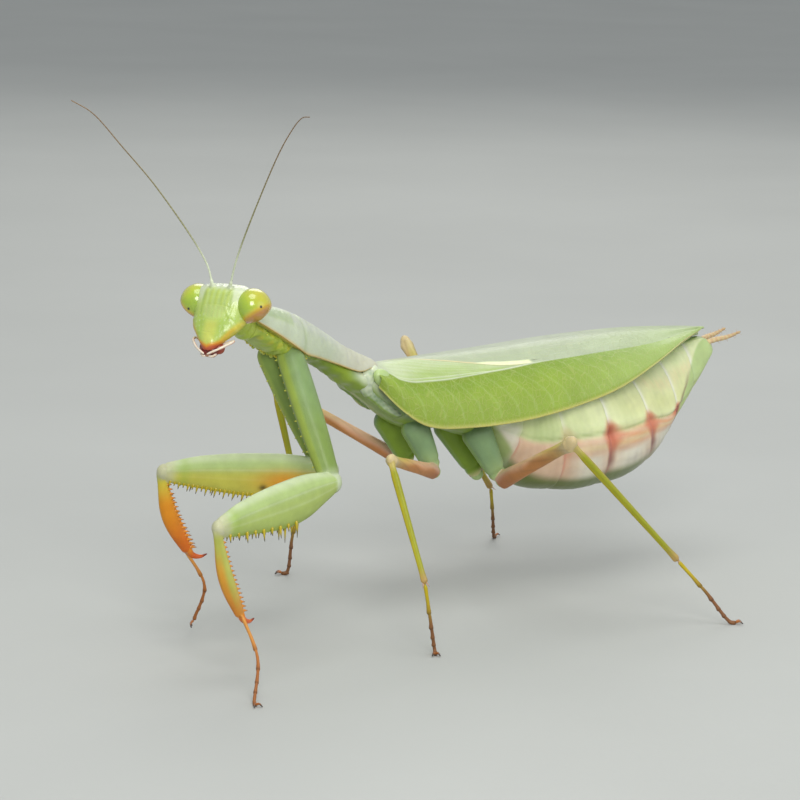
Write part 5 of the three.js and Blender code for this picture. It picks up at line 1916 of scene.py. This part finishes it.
@dataclass
class WalkingLeg:
    """One of the four slim legs that the animal stands on."""

    name: str
    hip: Triple
    coxa: Bone
    femur: Bone
    tibia: Bone
    tarsus: Bone
    toe: float
    coxa_size: float
    femur_size: float
    hip_size: float = 1.15
    tibia_size: float = 0.42
    tarsus_size: float = 0.29
    voxel: float = 0.085

    def points(self) -> list[Array]:
        """The joints from the hip to the toe.

        Returns:
            Their five places.
        """
        hip = np.array(self.hip)
        trochanter = self.coxa.end(hip)
        knee = self.femur.end(trochanter)
        ankle = self.tibia.end(knee)
        return [hip, trochanter, knee, ankle, self.tarsus.end(ankle, 0.8 * self.tarsus_size)]

    def build(self) -> list[Piece]:
        """Makes the leg's skin and its horn.

        Returns:
            One object for each.
        """
        skin = Skin(f"leg_{self.name}")
        hip, trochanter, knee, ankle, foot = self.points()
        self.add_coxa(skin, hip, trochanter, knee)
        self.add_femur(skin, trochanter, knee)
        self.add_tibia(skin, knee, ankle)
        way = direction(self.toe, 0)
        start = ankle + 0.2 * unit(foot - ankle)
        bow = (start + foot) / 2 + 0.1 * way
        tarsus = Foot(self.tarsus_size, self.toe)
        tarsus.add(skin, [start, bow, foot, foot + 0.55 * way], Tone.MUSTARD, Tone.BROWN)
        skin.ball(foot + 0.15 * way - np.array([0, 0, 0.02]), (way, np.cross(UP, way), UP),
            (0.5, 0.26, 0.2), Tone.BROWN, 16)
        skin.fuse(self.voxel)
        skin.points[:, 2] = np.maximum(skin.points[:, 2], 0.0)
        leg = skin.build(LIMB, "femur_pink", *leg_nodes(self.name))
        horn = Skin(f"claws_{self.name}")
        tarsus.add_claws(horn, foot + 0.5 * way, way)
        shank = unit(ankle - knee)
        aside = unit(np.cross(shank, way))
        for sign in (1, -1):
            root = ankle + 0.12 * sign * aside - 0.1 * shank
            horn.spike(root, root + 0.62 * shank + 0.22 * sign * aside + 0.12 * way, 0.07, Tone.TAN,
                Tone.BROWN)
        return [leg, horn.build(HORN, "tarsus_brown")]

    def add_coxa(self, skin: Skin, hip: Array, trochanter: Array, knee: Array) -> None:
        """Adds the coxa and the small ring that follows it.

        Args:
            skin: The leg's skin.
            hip: Where the coxa starts.
            trochanter: Where it ends.
            knee: Where the femur ends.
        """
        big = self.coxa_size
        size = Profile((0, self.hip_size), (0.3, 0.5 * (1 + self.hip_size)), (0.75, 0.9),
            (1, 0.62)).scaled(big)
        shape = sweep(between(hip, trochanter, -1.2, 0.15), np.array([1.0, 0.0, 0.3]), size.scaled(0.92),
            size, sides=40, steps=60, relief=lambda s, a: -0.1 * bump(np.cos(a), 0.2, 0.12)
            * ramp(s, 0.9, 0.6) - 0.12 * bump(s, 0.84, 0.03))
        outer = -np.sign(self.hip[1]) * shape.across
        skin.limb(shape, paint(
            Tone.WING_LEAF,
            (Tone.BLUE_GREEN, 0.85 * ramp(outer, -0.4, 0.4)),
            (Tone.PALE_GREEN, 0.6 * ramp(shape.share, 0.5, 0.95) * ramp(outer, -0.3, 0.3)),
            (Tone.CREAM, 0.7 * ramp(shape.share, 0.86, 0.98)),
        ))
        thigh = unit(knee - trochanter)
        wide = Profile((0, 0.6), (0.6, 0.52), (1, 0.42)).scaled(big)
        deep = Profile((0, 0.6), (0.6, 0.55), (1, 0.42)).scaled(big)
        ring = sweep(Path(trochanter - 0.35 * thigh, trochanter + 0.95 * thigh), UP, wide, deep, sides=32,
            steps=36)
        skin.limb(ring, blend(Tone.PALE_GREEN, Tone.PINK, ramp(ring.share, 0.4, 1)))

    def add_femur(self, skin: Skin, trochanter: Array, knee: Array) -> None:
        """Adds the femur, four-edged and flared at the knee.

        Args:
            skin: The leg's skin.
            trochanter: Where it starts.
            knee: Where it ends.
        """
        big = self.femur_size
        size = Profile((0, 1.3), (0.1, 1.25), (0.35, 1.05), (0.6, 0.95), (0.88, 0.85), (1, 1.2)).scaled(big)
        shape = sweep(between(trochanter, knee, 0.1, -0.2), UP, size.scaled(0.9), size, sides=40,
            steps=150, relief=lambda s, a: 0.06 * np.cos(4 * a) * big)
        skin.limb(shape, paint(
            Tone.PINK,
            (Tone.BLUSH, 0.4 * ramp(shape.rise, 0.2, -0.8)),
            (Tone.CREAM, 0.3 * ramp(shape.rise, 0.2, 0.8)),
            (Tone.STRAW, 0.7 * ramp(shape.share, 0.45, 0.85)),
            (Tone.MUSTARD, 0.3 * bump(shape.share, 0.75, 0.18)),
            (Tone.RUST, 0.75 * ramp(shape.rise + 0.3 * np.cos(17 * shape.share), 0.35, -0.45)
                * ramp(shape.share, 0.95, 0.6)),
            (Tone.ORANGE, 0.4 * bump(shape.share, 0.45, 0.25) * ramp(shape.rise, 0.4, -0.2)),
            (Tone.YELLOW_GREEN, 0.4 * ramp(shape.rise, 0.2, 0.9) * ramp(shape.share, 0.4, 0.8)),
            (Tone.RUST, 0.45 * ramp(shape.share, 0.45, 0.1) * ramp(shape.rise, 0.4, -0.4)),
            (Tone.AMBER, 0.35 * ramp(shape.share, 0.05, 0.3) * ramp(shape.share, 0.95, 0.7)),
            (Tone.BONE, 0.8 * ramp(shape.share, 0.86, 0.96)),
            (Tone.BROWN, 0.25 * ramp(np.cos(23 * shape.share + 4 * shape.angle), 0.6, 1)
                * ramp(shape.share, 0.2, 0.5)),
        ))
        axes = (unit(np.cross(UP, knee - trochanter)), unit(knee - trochanter), UP)
        skin.ball(knee - 0.25 * axes[1], axes, (0.85 * big, 1.4 * big, 1.05 * big), Tone.BONE, 20)

    def add_tibia(self, skin: Skin, knee: Array, ankle: Array) -> None:
        """Adds the tibia, with four low ridges along it.

        Args:
            skin: The leg's skin.
            knee: Where it starts.
            ankle: Where it ends.
        """
        big = self.tibia_size
        size = Profile((0, 1.1), (0.06, 0.8), (0.14, 0.95), (0.5, 0.84), (0.9, 0.74), (1, 0.95)).scaled(big)
        shape = sweep(between(knee, ankle, 0.0, -0.1), np.cross(unit(ankle - knee), [0.0, 1.0, 0.0]), size,
            size, sides=32, steps=170, relief=lambda s, a: 0.08 * big * np.cos(4 * a))
        skin.limb(shape, paint(
            Tone.MUSTARD,
            (Tone.OLIVE, 0.25 + 0.4 * ramp(shape.across, 0.2, 0.9)),
            (Tone.TAN, 0.4 * ramp(shape.rise, 0.4, 0.9) * ramp(shape.share, 0.5, 0.1)),
            (Tone.STRAW, 0.8 * ramp(shape.share, 0.12, 0.03)),
            (Tone.TAN, 0.6 * ramp(shape.share, 0.85, 1)),
        ))


@dataclass
class RaptorialLeg:
    """One of the two folded, spined forelegs."""

    side: Side
    coxa: Bone
    femur: Bone
    tibia: Bone
    tarsus: Bone
    toe: float
    tip: Bone | None = None
    bow: float | None = None
    bow_size: float = 0.9
    studs: int = 15
    stud_lean: float = 0.0
    coxa_size: float = 1.45
    tibia_size: float = 0.75
    tarsus_size: float = 0.27
    back: Profile = Profile((0, 0.95), (0.12, 1.5), (0.25, 1.85), (0.4, 1.95), (0.6, 1.9), (0.8, 1.6),
        (0.93, 1.1), (1, 0.8))
    front: Profile = Profile((0, 0.95), (0.12, 1.6), (0.25, 2.3), (0.38, 2.55), (0.55, 2.35), (0.75, 1.75),
        (0.93, 1.15), (1, 0.8))
    thickness: Profile = Profile((0, 0.85), (0.15, 1.05), (0.35, 1.15), (0.7, 0.9), (0.9, 0.75), (1, 0.7))
    voxel: float = 0.1

    @property
    def name(self) -> str:
        """The leg's name in the frame's nodes."""
        return f"fore_{self.side.word}"

    def build(self) -> list[Piece]:
        """Makes the leg's skin and its spines.

        Returns:
            One object for each.
        """
        hip = CHEST.at(self.side.value * 1.3, -3.2, 14.3)
        elbow = self.coxa.end(hip)
        knee = self.femur.end(elbow)
        ankle = self.tibia.end(knee)
        foot = self.tarsus.end(ankle, 0.8 * self.tarsus_size)
        thigh, shank = unit(knee - elbow), unit(ankle - knee)
        inner = unit(shank - thigh * (shank @ thigh))
        grip = unit(shank * (thigh @ shank) - thigh)
        flat = np.cross(thigh, inner)
        skin = Skin(f"leg_{self.name}")
        horn = Skin(f"spines_{self.name}")
        self.add_coxa(skin, horn, hip, elbow, thigh)
        self.add_femur(skin, horn, between(elbow, knee, -0.3, 0.0), inner, flat)
        bowed = Path(knee - 0.1 * shank, (knee + ankle) / 2 - 0.6 * grip, ankle + 0.05 * shank)
        self.add_tibia(skin, horn, bowed, grip, shank, ankle)
        start = ankle + 0.4 * self.side.value * flat - 0.2 * grip - 0.15 * shank
        tarsus = Foot(self.tarsus_size, self.toe)
        stops, way = self.tarsus_stops(start, foot)
        tarsus.add(skin, stops, Tone.AMBER, Tone.RUST)
        skin.fuse(self.voxel)
        skin.points[:, 2] = np.maximum(skin.points[:, 2], 0.0)
        tarsus.add_claws(horn, stops[-1], way)
        return [skin.build(LIMB, "cuticle_pale", *leg_nodes(self.name)), horn.build(HORN, "tibia_orange")]

    def tarsus_stops(self, start: Array, foot: Array) -> tuple[list[Array], Array]:
        """The way that the tarsus takes.

        Args:
            start: Where it leaves the tibia.
            foot: The end of its first bone.

        Returns:
            Its stops, and where the toe points.
        """
        if self.tip is not None:
            end = self.tip.end(foot)
            way = direction(self.toe, -70)
            return [start, foot, end, end + 0.4 * way], way
        way = direction(self.toe, 0)
        bend = (start + foot) / 2 + self.bow_size * direction(self.toe if self.bow is None else self.bow, 0)
        return [start, bend, foot, foot + 0.5 * way], way

    def add_coxa(self, skin: Skin, horn: Skin, hip: Array, elbow: Array, thigh: Array) -> None:
        """Adds the long coxa, with a row of yellow studs on its front edge.

        Args:
            skin: The leg's skin.
            horn: Its studs and spines.
            hip: Where it starts.
            elbow: Where it ends.
            thigh: Where the femur points.
        """
        big = self.coxa_size
        size = Profile((0, 1.25), (0.12, 1.08 * big), (0.6, 1.05 * big), (0.9, 1.25), (1, 1.05))
        path = between(hip, elbow, -0.9, 0.2)
        shape = sweep(path, -thigh, size.scaled(0.8), size, sides=56, steps=140,
            relief=lambda s, a: 0.07 * np.cos(3 * a + 0.5) + 0.08 * bump(np.abs(np.sin(a)), 1, 0.1))
        outer = shape.across * self.side.value
        skin.limb(shape, paint(
            blend(Tone.LEAF, Tone.PALE_GREEN, 0.3 * ramp(shape.rise, -0.4, 0.8)) * 0.78,
            (Tone.YELLOW_GREEN, 0.5 * ramp(np.abs(shape.rise), 0.88, 1)),
            (Tone.BLUE_GREEN, 0.45 * ramp(outer, 0.2, 0.8) * ramp(shape.share, 0.75, 0.3)),
            (Tone.WHITE_GREEN, 0.55 * ramp(shape.share, 0.9, 1)),
        ))
        coxa_way = unit(elbow - hip)
        axes = (unit(np.cross(thigh, coxa_way)), unit(thigh + coxa_way), unit(coxa_way - thigh))
        skin.ball(elbow - 0.15 * coxa_way, axes, (0.95, 1.25, 1.15),
            blend(Tone.PALE_GREEN, Tone.GREY_GREEN, 0.6), 24)
        front = unit(unit(thigh - coxa_way * (thigh @ coxa_way)) + self.stud_lean
            * np.array([0.0, self.side.value, 0.0]))
        for number, share in enumerate(evenly(0.12, 0.78, self.studs)):
            root = path.point(share) + 0.96 * size(share) * front
            length = 0.2 if number % 2 else 0.32
            horn.spike(root - 0.1 * front, root + length * unit(front + 0.35 * coxa_way), 0.17,
                Tone.YELLOW_GREEN, Tone.YELLOW)

    def add_femur(self, skin: Skin, horn: Skin, path: Path, inner: Array, flat: Array) -> None:
        """Adds the thick femur and its three rows of spines.

        Args:
            skin: The leg's skin.
            horn: Its spines.
            path: The femur's middle.
            inner: Where its spines point.
            flat: Across its flat faces.
        """
        shape = sweep(path, -inner, self.thickness, self.back, self.front, sides=72, steps=190, power=0.95,
            relief=self.femur_relief)
        outer = shape.across * -self.side.value
        inward = ramp(outer, 0, -0.5)
        skin.limb(shape, paint(
            blend(Tone.PALE_GREEN, Tone.YELLOW_GREEN, 0.15 + 0.45 * ramp(shape.rise, 0.5, -0.2)) * 0.93,
            (Tone.WHITE_GREEN, 0.3 * bump(shape.rise, 0.25, 0.04) + 0.25 * bump(shape.rise, -0.15, 0.05)),
            (Tone.OLIVE, 0.5 * ramp(shape.rise, -0.6, -0.95)),
            (Tone.WHITE_GREEN, 0.5 * ramp(shape.rise, 0.55, 0.95)),
            (Tone.YELLOW, 0.6 * inward * ramp(shape.rise, 0.5, -0.2)),
            (Tone.ORANGE, 0.8 * inward * bump(shape.share, 0.3, 0.16) * bump(shape.rise, -0.25, 0.5)),
            (Tone.BLACK, 0.9 * inward * bump(shape.share, 0.42, 0.022) * bump(shape.rise, -0.5, 0.12)),
            (Tone.KNEE, 0.75 * ramp(shape.share, 0.9, 0.97)),
            (Tone.BRIGHT_LEAF, 0.35 * bump(shape.share, 0.88, 0.03)),
        ))
        axes = (flat, unit(np.cross(inner, flat)), inner)
        skin.ball(path.point(0.985), axes, (0.66, 0.75, 0.85), Tone.KNEE, 20)
        tip = unit(path.tangent(0.5))
        rows = ((-0.55, 23, 0.36, 0.95, 0.85, 0.6), (0.6, 9, 0.4, 0.93, 1.05, 0.6),
            (0.0, 4, 0.34, 0.5, 1.8, 0.75))
        for sideways, count, first, last, length, other in rows:
            for number, share in enumerate(evenly(first, last - first, count)):
                root = path.point(share) + 0.86 * self.front(share) * inner
                root = root + sideways * self.side.value * self.thickness(share) * flat
                reach = length * (other if number % 2 else 1) * (1 - 0.35 * ramp(share, 0.7, 0.95))
                spine = unit(inner + 0.25 * tip + 0.25 * sideways * self.side.value * flat)
                horn.spike(root - 0.25 * inner, root + reach * spine, 0.16, Tone.MUSTARD, Tone.BLACK)

    @staticmethod
    def femur_relief(share: Array, angle: Array) -> Array:
        """A furrow between the spine rows and a soft edge along the back.

        Args:
            share: Share of the femur's length.
            angle: Radians round it.

        Returns:
            How far each point stands out.
        """
        furrow = -0.22 * bump(np.sin(angle), -1, 0.035) * ramp(share, 0.3, 0.4)
        edges = 0.1 * bump(np.sin(angle), -0.93, 0.05) * ramp(share, 0.3, 0.4)
        return furrow + edges + 0.07 * bump(np.sin(angle), 1, 0.03) + 0.05 * bump(np.sin(angle), 0.35, 0.12)

    def add_tibia(self, skin: Skin, horn: Skin, path: Path, grip: Array, shank: Array,
            ankle: Array) -> None:
        """Adds the toothed tibia with its long end hook.

        Args:
            skin: The leg's skin.
            horn: Its teeth and hook.
            path: The tibia's middle.
            grip: The side that closes on the femur.
            shank: Where the tibia points.
            ankle: Where it ends.
        """
        size = Profile((0, 0.5), (0.15, 0.55), (0.45, 1.1 * self.tibia_size),
            (0.7, 1.08 * self.tibia_size), (1, 0.5))
        shape = sweep(path, -grip, size.scaled(0.75), size, sides=48, steps=120,
            relief=lambda s, a: 0.05 * bump(np.sin(a), 1, 0.05))
        outer = shape.across * -self.side.value
        rust = blend(Tone.YELLOW, Tone.ORANGE, ramp(shape.share, 0.08, 0.4))
        rust = blend(rust, Tone.FLAME, 0.9 * ramp(shape.share, 0.4, 0.95))
        orange = np.maximum(ramp(outer, 0.15, -0.25), 0.75 * ramp(shape.rise, 0.2, 0.9)
            * ramp(shape.share, 0.1, 0.5))
        orange = np.maximum(orange, 0.7 * ramp(shape.share, 0.5, 1))
        tint = paint(
            blend(Tone.YELLOW_GREEN, Tone.STRAW, 0.4),
            (Tone.OLIVE, 0.35 * ramp(shape.rise, -0.2, 0.6)),
            (rust, 0.92 * orange * ramp(shape.share, 0.03, 0.14)),
            (Tone.KNEE, 0.7 * ramp(shape.share, 0.12, 0)),
        )
        skin.limb(shape, tint)
        hook = Path(ankle - 0.7 * shank, ankle + 0.55 * shank + 0.25 * grip, ankle + 1.1 * shank
            + 1.0 * grip, ankle + 1.15 * shank + 1.75 * grip)
        girth = Profile((0, 0.42), (0.5, 0.3), (0.85, 0.14), (1, 0.06))
        claw = sweep(hook, grip, girth, girth, sides=24, steps=60)
        tint = blend(Tone.ORANGE, Tone.FLAME, ramp(claw.share, 0.1, 0.5))
        horn.limb(claw, blend(tint, Tone.DARK_RED, ramp(claw.share, 0.7, 1)))
        aside = np.cross(shank, grip)
        for row, count in ((0.42, 16), (-0.42, 12)):
            for share in evenly(0.16, 0.78, count):
                root = path.point(share) + 0.78 * size(share) * grip + row * size(share) * aside
                reach = 0.38 + 0.32 * share
                horn.spike(root - 0.2 * grip, root + reach * unit(grip + 0.7 * shank), 0.17, Tone.ORANGE,
                    Tone.BROWN)


def make_legs() -> list[WalkingLeg | RaptorialLeg]:
    """The six legs, each in its own stance.

    Returns:
        The forelegs, then the middle and the hind legs.
    """
    return [
        RaptorialLeg(Side.LEFT, Bone(14.1, 92, -58), Bone(18.1, 19, -4.5), Bone(9.2, 178, -73),
            Bone(9.6, 69), 75, bow=145, stud_lean=0.65),
        RaptorialLeg(Side.RIGHT, Bone(14.4, 162, -64), Bone(18.3, -10, 4.5), Bone(9.3, -174, -68),
            Bone(3.9, 145, -65), -35, tip=Bone(3.4, -35, -74)),
        WalkingLeg("mid_left", (4.1, -2.5, 19.2), Bone(5.3, 154, -65), Bone(16, 37, 15.5),
            Bone(13, 87, -58.5), Bone(7.5, 180), 60, 1.25, 0.62, hip_size=1.4),
        WalkingLeg("mid_right", (4.1, 2.5, 19.2), Bone(6.1, -178, -59), Bone(17.4, -58, 23),
            Bone(13, 148, -77), Bone(8, -19), -40, 1.25, 0.62, hip_size=1.4),
        WalkingLeg("hind_left", (12.1, -2.6, 17.9), Bone(6.2, 163, -62), Bone(20, 75, 23),
            Bone(19, 174, -45), Bone(8.8, 144), 150, 1.3, 0.76, hip_size=1.5, tarsus_size=0.3),
        WalkingLeg("hind_right", (12.1, 2.6, 17.9), Bone(7.0, 165.5, -58.4), Bone(21.5, -99, 32.5),
            Bone(19, 136, -58), Bone(9.5, -132), -140, 1.3, 0.76, hip_size=1.5, tarsus_size=0.3),
    ]


# ---------------- studio


@dataclass(frozen=True)
class Lamp:
    """One soft disk of light, placed round the animal."""

    name: str
    azimuth: float
    elevation: float
    distance: float
    size: float
    watts: float
    warmth: Triple = (1.0, 1.0, 1.0)


@dataclass
class Studio:
    """The pale floor, the lights and the camera."""

    azimuth: float = -35.5
    elevation: float = 11.0
    distance: float = 0.335
    roll: float = 1.2
    lens: float = 143.5
    target: Triple = (3.9, 0.0, 21.7)
    floor: float = 3.0
    lamps: tuple[Lamp, ...] = (
        Lamp("key", -28, 30, 0.45, 0.2, 1.0, (1.0, 0.99, 0.96)),
        Lamp("top", -20, 78, 0.45, 0.3, 0.8, (0.99, 1.0, 0.98)),
        Lamp("fill", 30, 14, 0.5, 0.4, 0.3, (0.95, 0.98, 1.0)),
        Lamp("rim", 140, 35, 0.5, 0.3, 0.5, (1.0, 0.98, 0.94)),
    )

    def build(self) -> list[Piece]:
        """Makes the studio.

        Returns:
            The floor, which is not part of the animal.
        """
        self.set_world()
        bpy.context.scene.view_settings.view_transform = "Standard"
        middle = (np.array(self.target) + Place.shift) * MM
        for lamp in self.lamps:
            self.add_lamp(lamp, middle)
        self.add_camera(middle)
        return [self.make_floor()]

    @staticmethod
    def outward(azimuth: float, elevation: float) -> Array:
        """The direction from the animal to something round it."""
        a, e = np.radians(azimuth), np.radians(elevation)
        return np.array([np.sin(a) * np.cos(e), -np.cos(a) * np.cos(e), np.sin(e)])

    def make_floor(self) -> Piece:
        """Makes the floor.

        Returns:
            Its object.
        """
        mesh = bpy.data.meshes.new("floor")
        reach = self.floor
        mesh.from_pydata([(-reach, -reach, 0), (reach, -reach, 0), (reach, reach, 0), (-reach, reach, 0)],
            [], [(0, 1, 2, 3)])
        material = bpy.data.materials.new("pale floor")
        material.use_nodes = True
        shader = material.node_tree.nodes["Principled BSDF"]
        shader.inputs["Roughness"].default_value = 0.7
        weave = Weave(material)
        base = weave.add("ShaderNodeRGB", {})
        base.outputs[0].default_value = (0.46, 0.47, 0.45, 1)
        shade = weave.remap(weave.noise(60, 5.0), 0.3, 0.7, 0.97, 1.03)
        weave.link(weave.scale(base.outputs[0], shade), shader.inputs["Base Color"])
        weave.link(weave.bump(weave.noise(0.8, 3.0), 0.02), shader.inputs["Normal"])
        mesh.materials.append(material)
        floor = placed("floor", mesh)
        floor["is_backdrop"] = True
        return floor

    @staticmethod
    def set_world() -> None:
        """Sets a soft, even sky."""
        world = bpy.data.worlds.new("studio")
        world.use_nodes = True
        sky = world.node_tree.nodes["Background"]
        sky.inputs["Color"].default_value = (0.93, 0.97, 1.0, 1)
        sky.inputs["Strength"].default_value = 0.5
        bpy.context.scene.world = world

    def add_lamp(self, lamp: Lamp, middle: Array) -> None:
        """Adds one light that looks at the animal.

        Args:
            lamp: The light.
            middle: What it looks at.
        """
        out = self.outward(lamp.azimuth, lamp.elevation)
        data = bpy.data.lights.new(lamp.name, "AREA")
        data.shape = "DISK"
        data.size = lamp.size
        data.energy = lamp.watts
        data.color = lamp.warmth
        light = placed(lamp.name, data)
        light.location = Vector(middle + lamp.distance * out)
        light.rotation_euler = Vector(-out).to_track_quat("-Z", "Y").to_euler()

    def add_camera(self, middle: Array) -> None:
        """Adds the camera.

        Args:
            middle: What it looks at.
        """
        out = self.outward(self.azimuth, self.elevation)
        turn, tilt = np.radians(self.azimuth), np.radians(self.roll)
        level = np.array([np.cos(turn), np.sin(turn), 0.0])
        above = np.cross(out, level)
        right = level * np.cos(tilt) + above * np.sin(tilt)
        up = above * np.cos(tilt) - level * np.sin(tilt)
        data = bpy.data.cameras.new("camera")
        data.lens = self.lens
        data.sensor_width = 36.0
        data.clip_start = 0.01
        data.clip_end = 20.0
        camera = placed("camera", data)
        frame = Matrix(np.stack([right, up, out], axis=1).tolist()).to_4x4()
        frame.translation = Vector(middle + self.distance * out)
        camera.matrix_world = frame
        bpy.context.scene.camera = camera


# ---------------- everything


def main(solid_box: tuple[Vector, Vector]) -> None:
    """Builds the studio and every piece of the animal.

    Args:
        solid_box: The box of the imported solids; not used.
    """
    Place.settle(Eyes().centre(Side.LEFT))
    for part in (Studio(), Eyes(), Head(), Mouth(), Feelers(), Shield(), Trunk(), Cerci(), Forewings(),
            Hindwings(), *make_legs()):
        for piece in part.build():
            LOG.info("%s: %d faces", piece.name, len(piece.data.polygons))
    bpy.context.view_layer.update()


if __name__ == "__main__":
    logging.basicConfig(level=logging.INFO, format="%(name)s %(message)s")
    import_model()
    main(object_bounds())
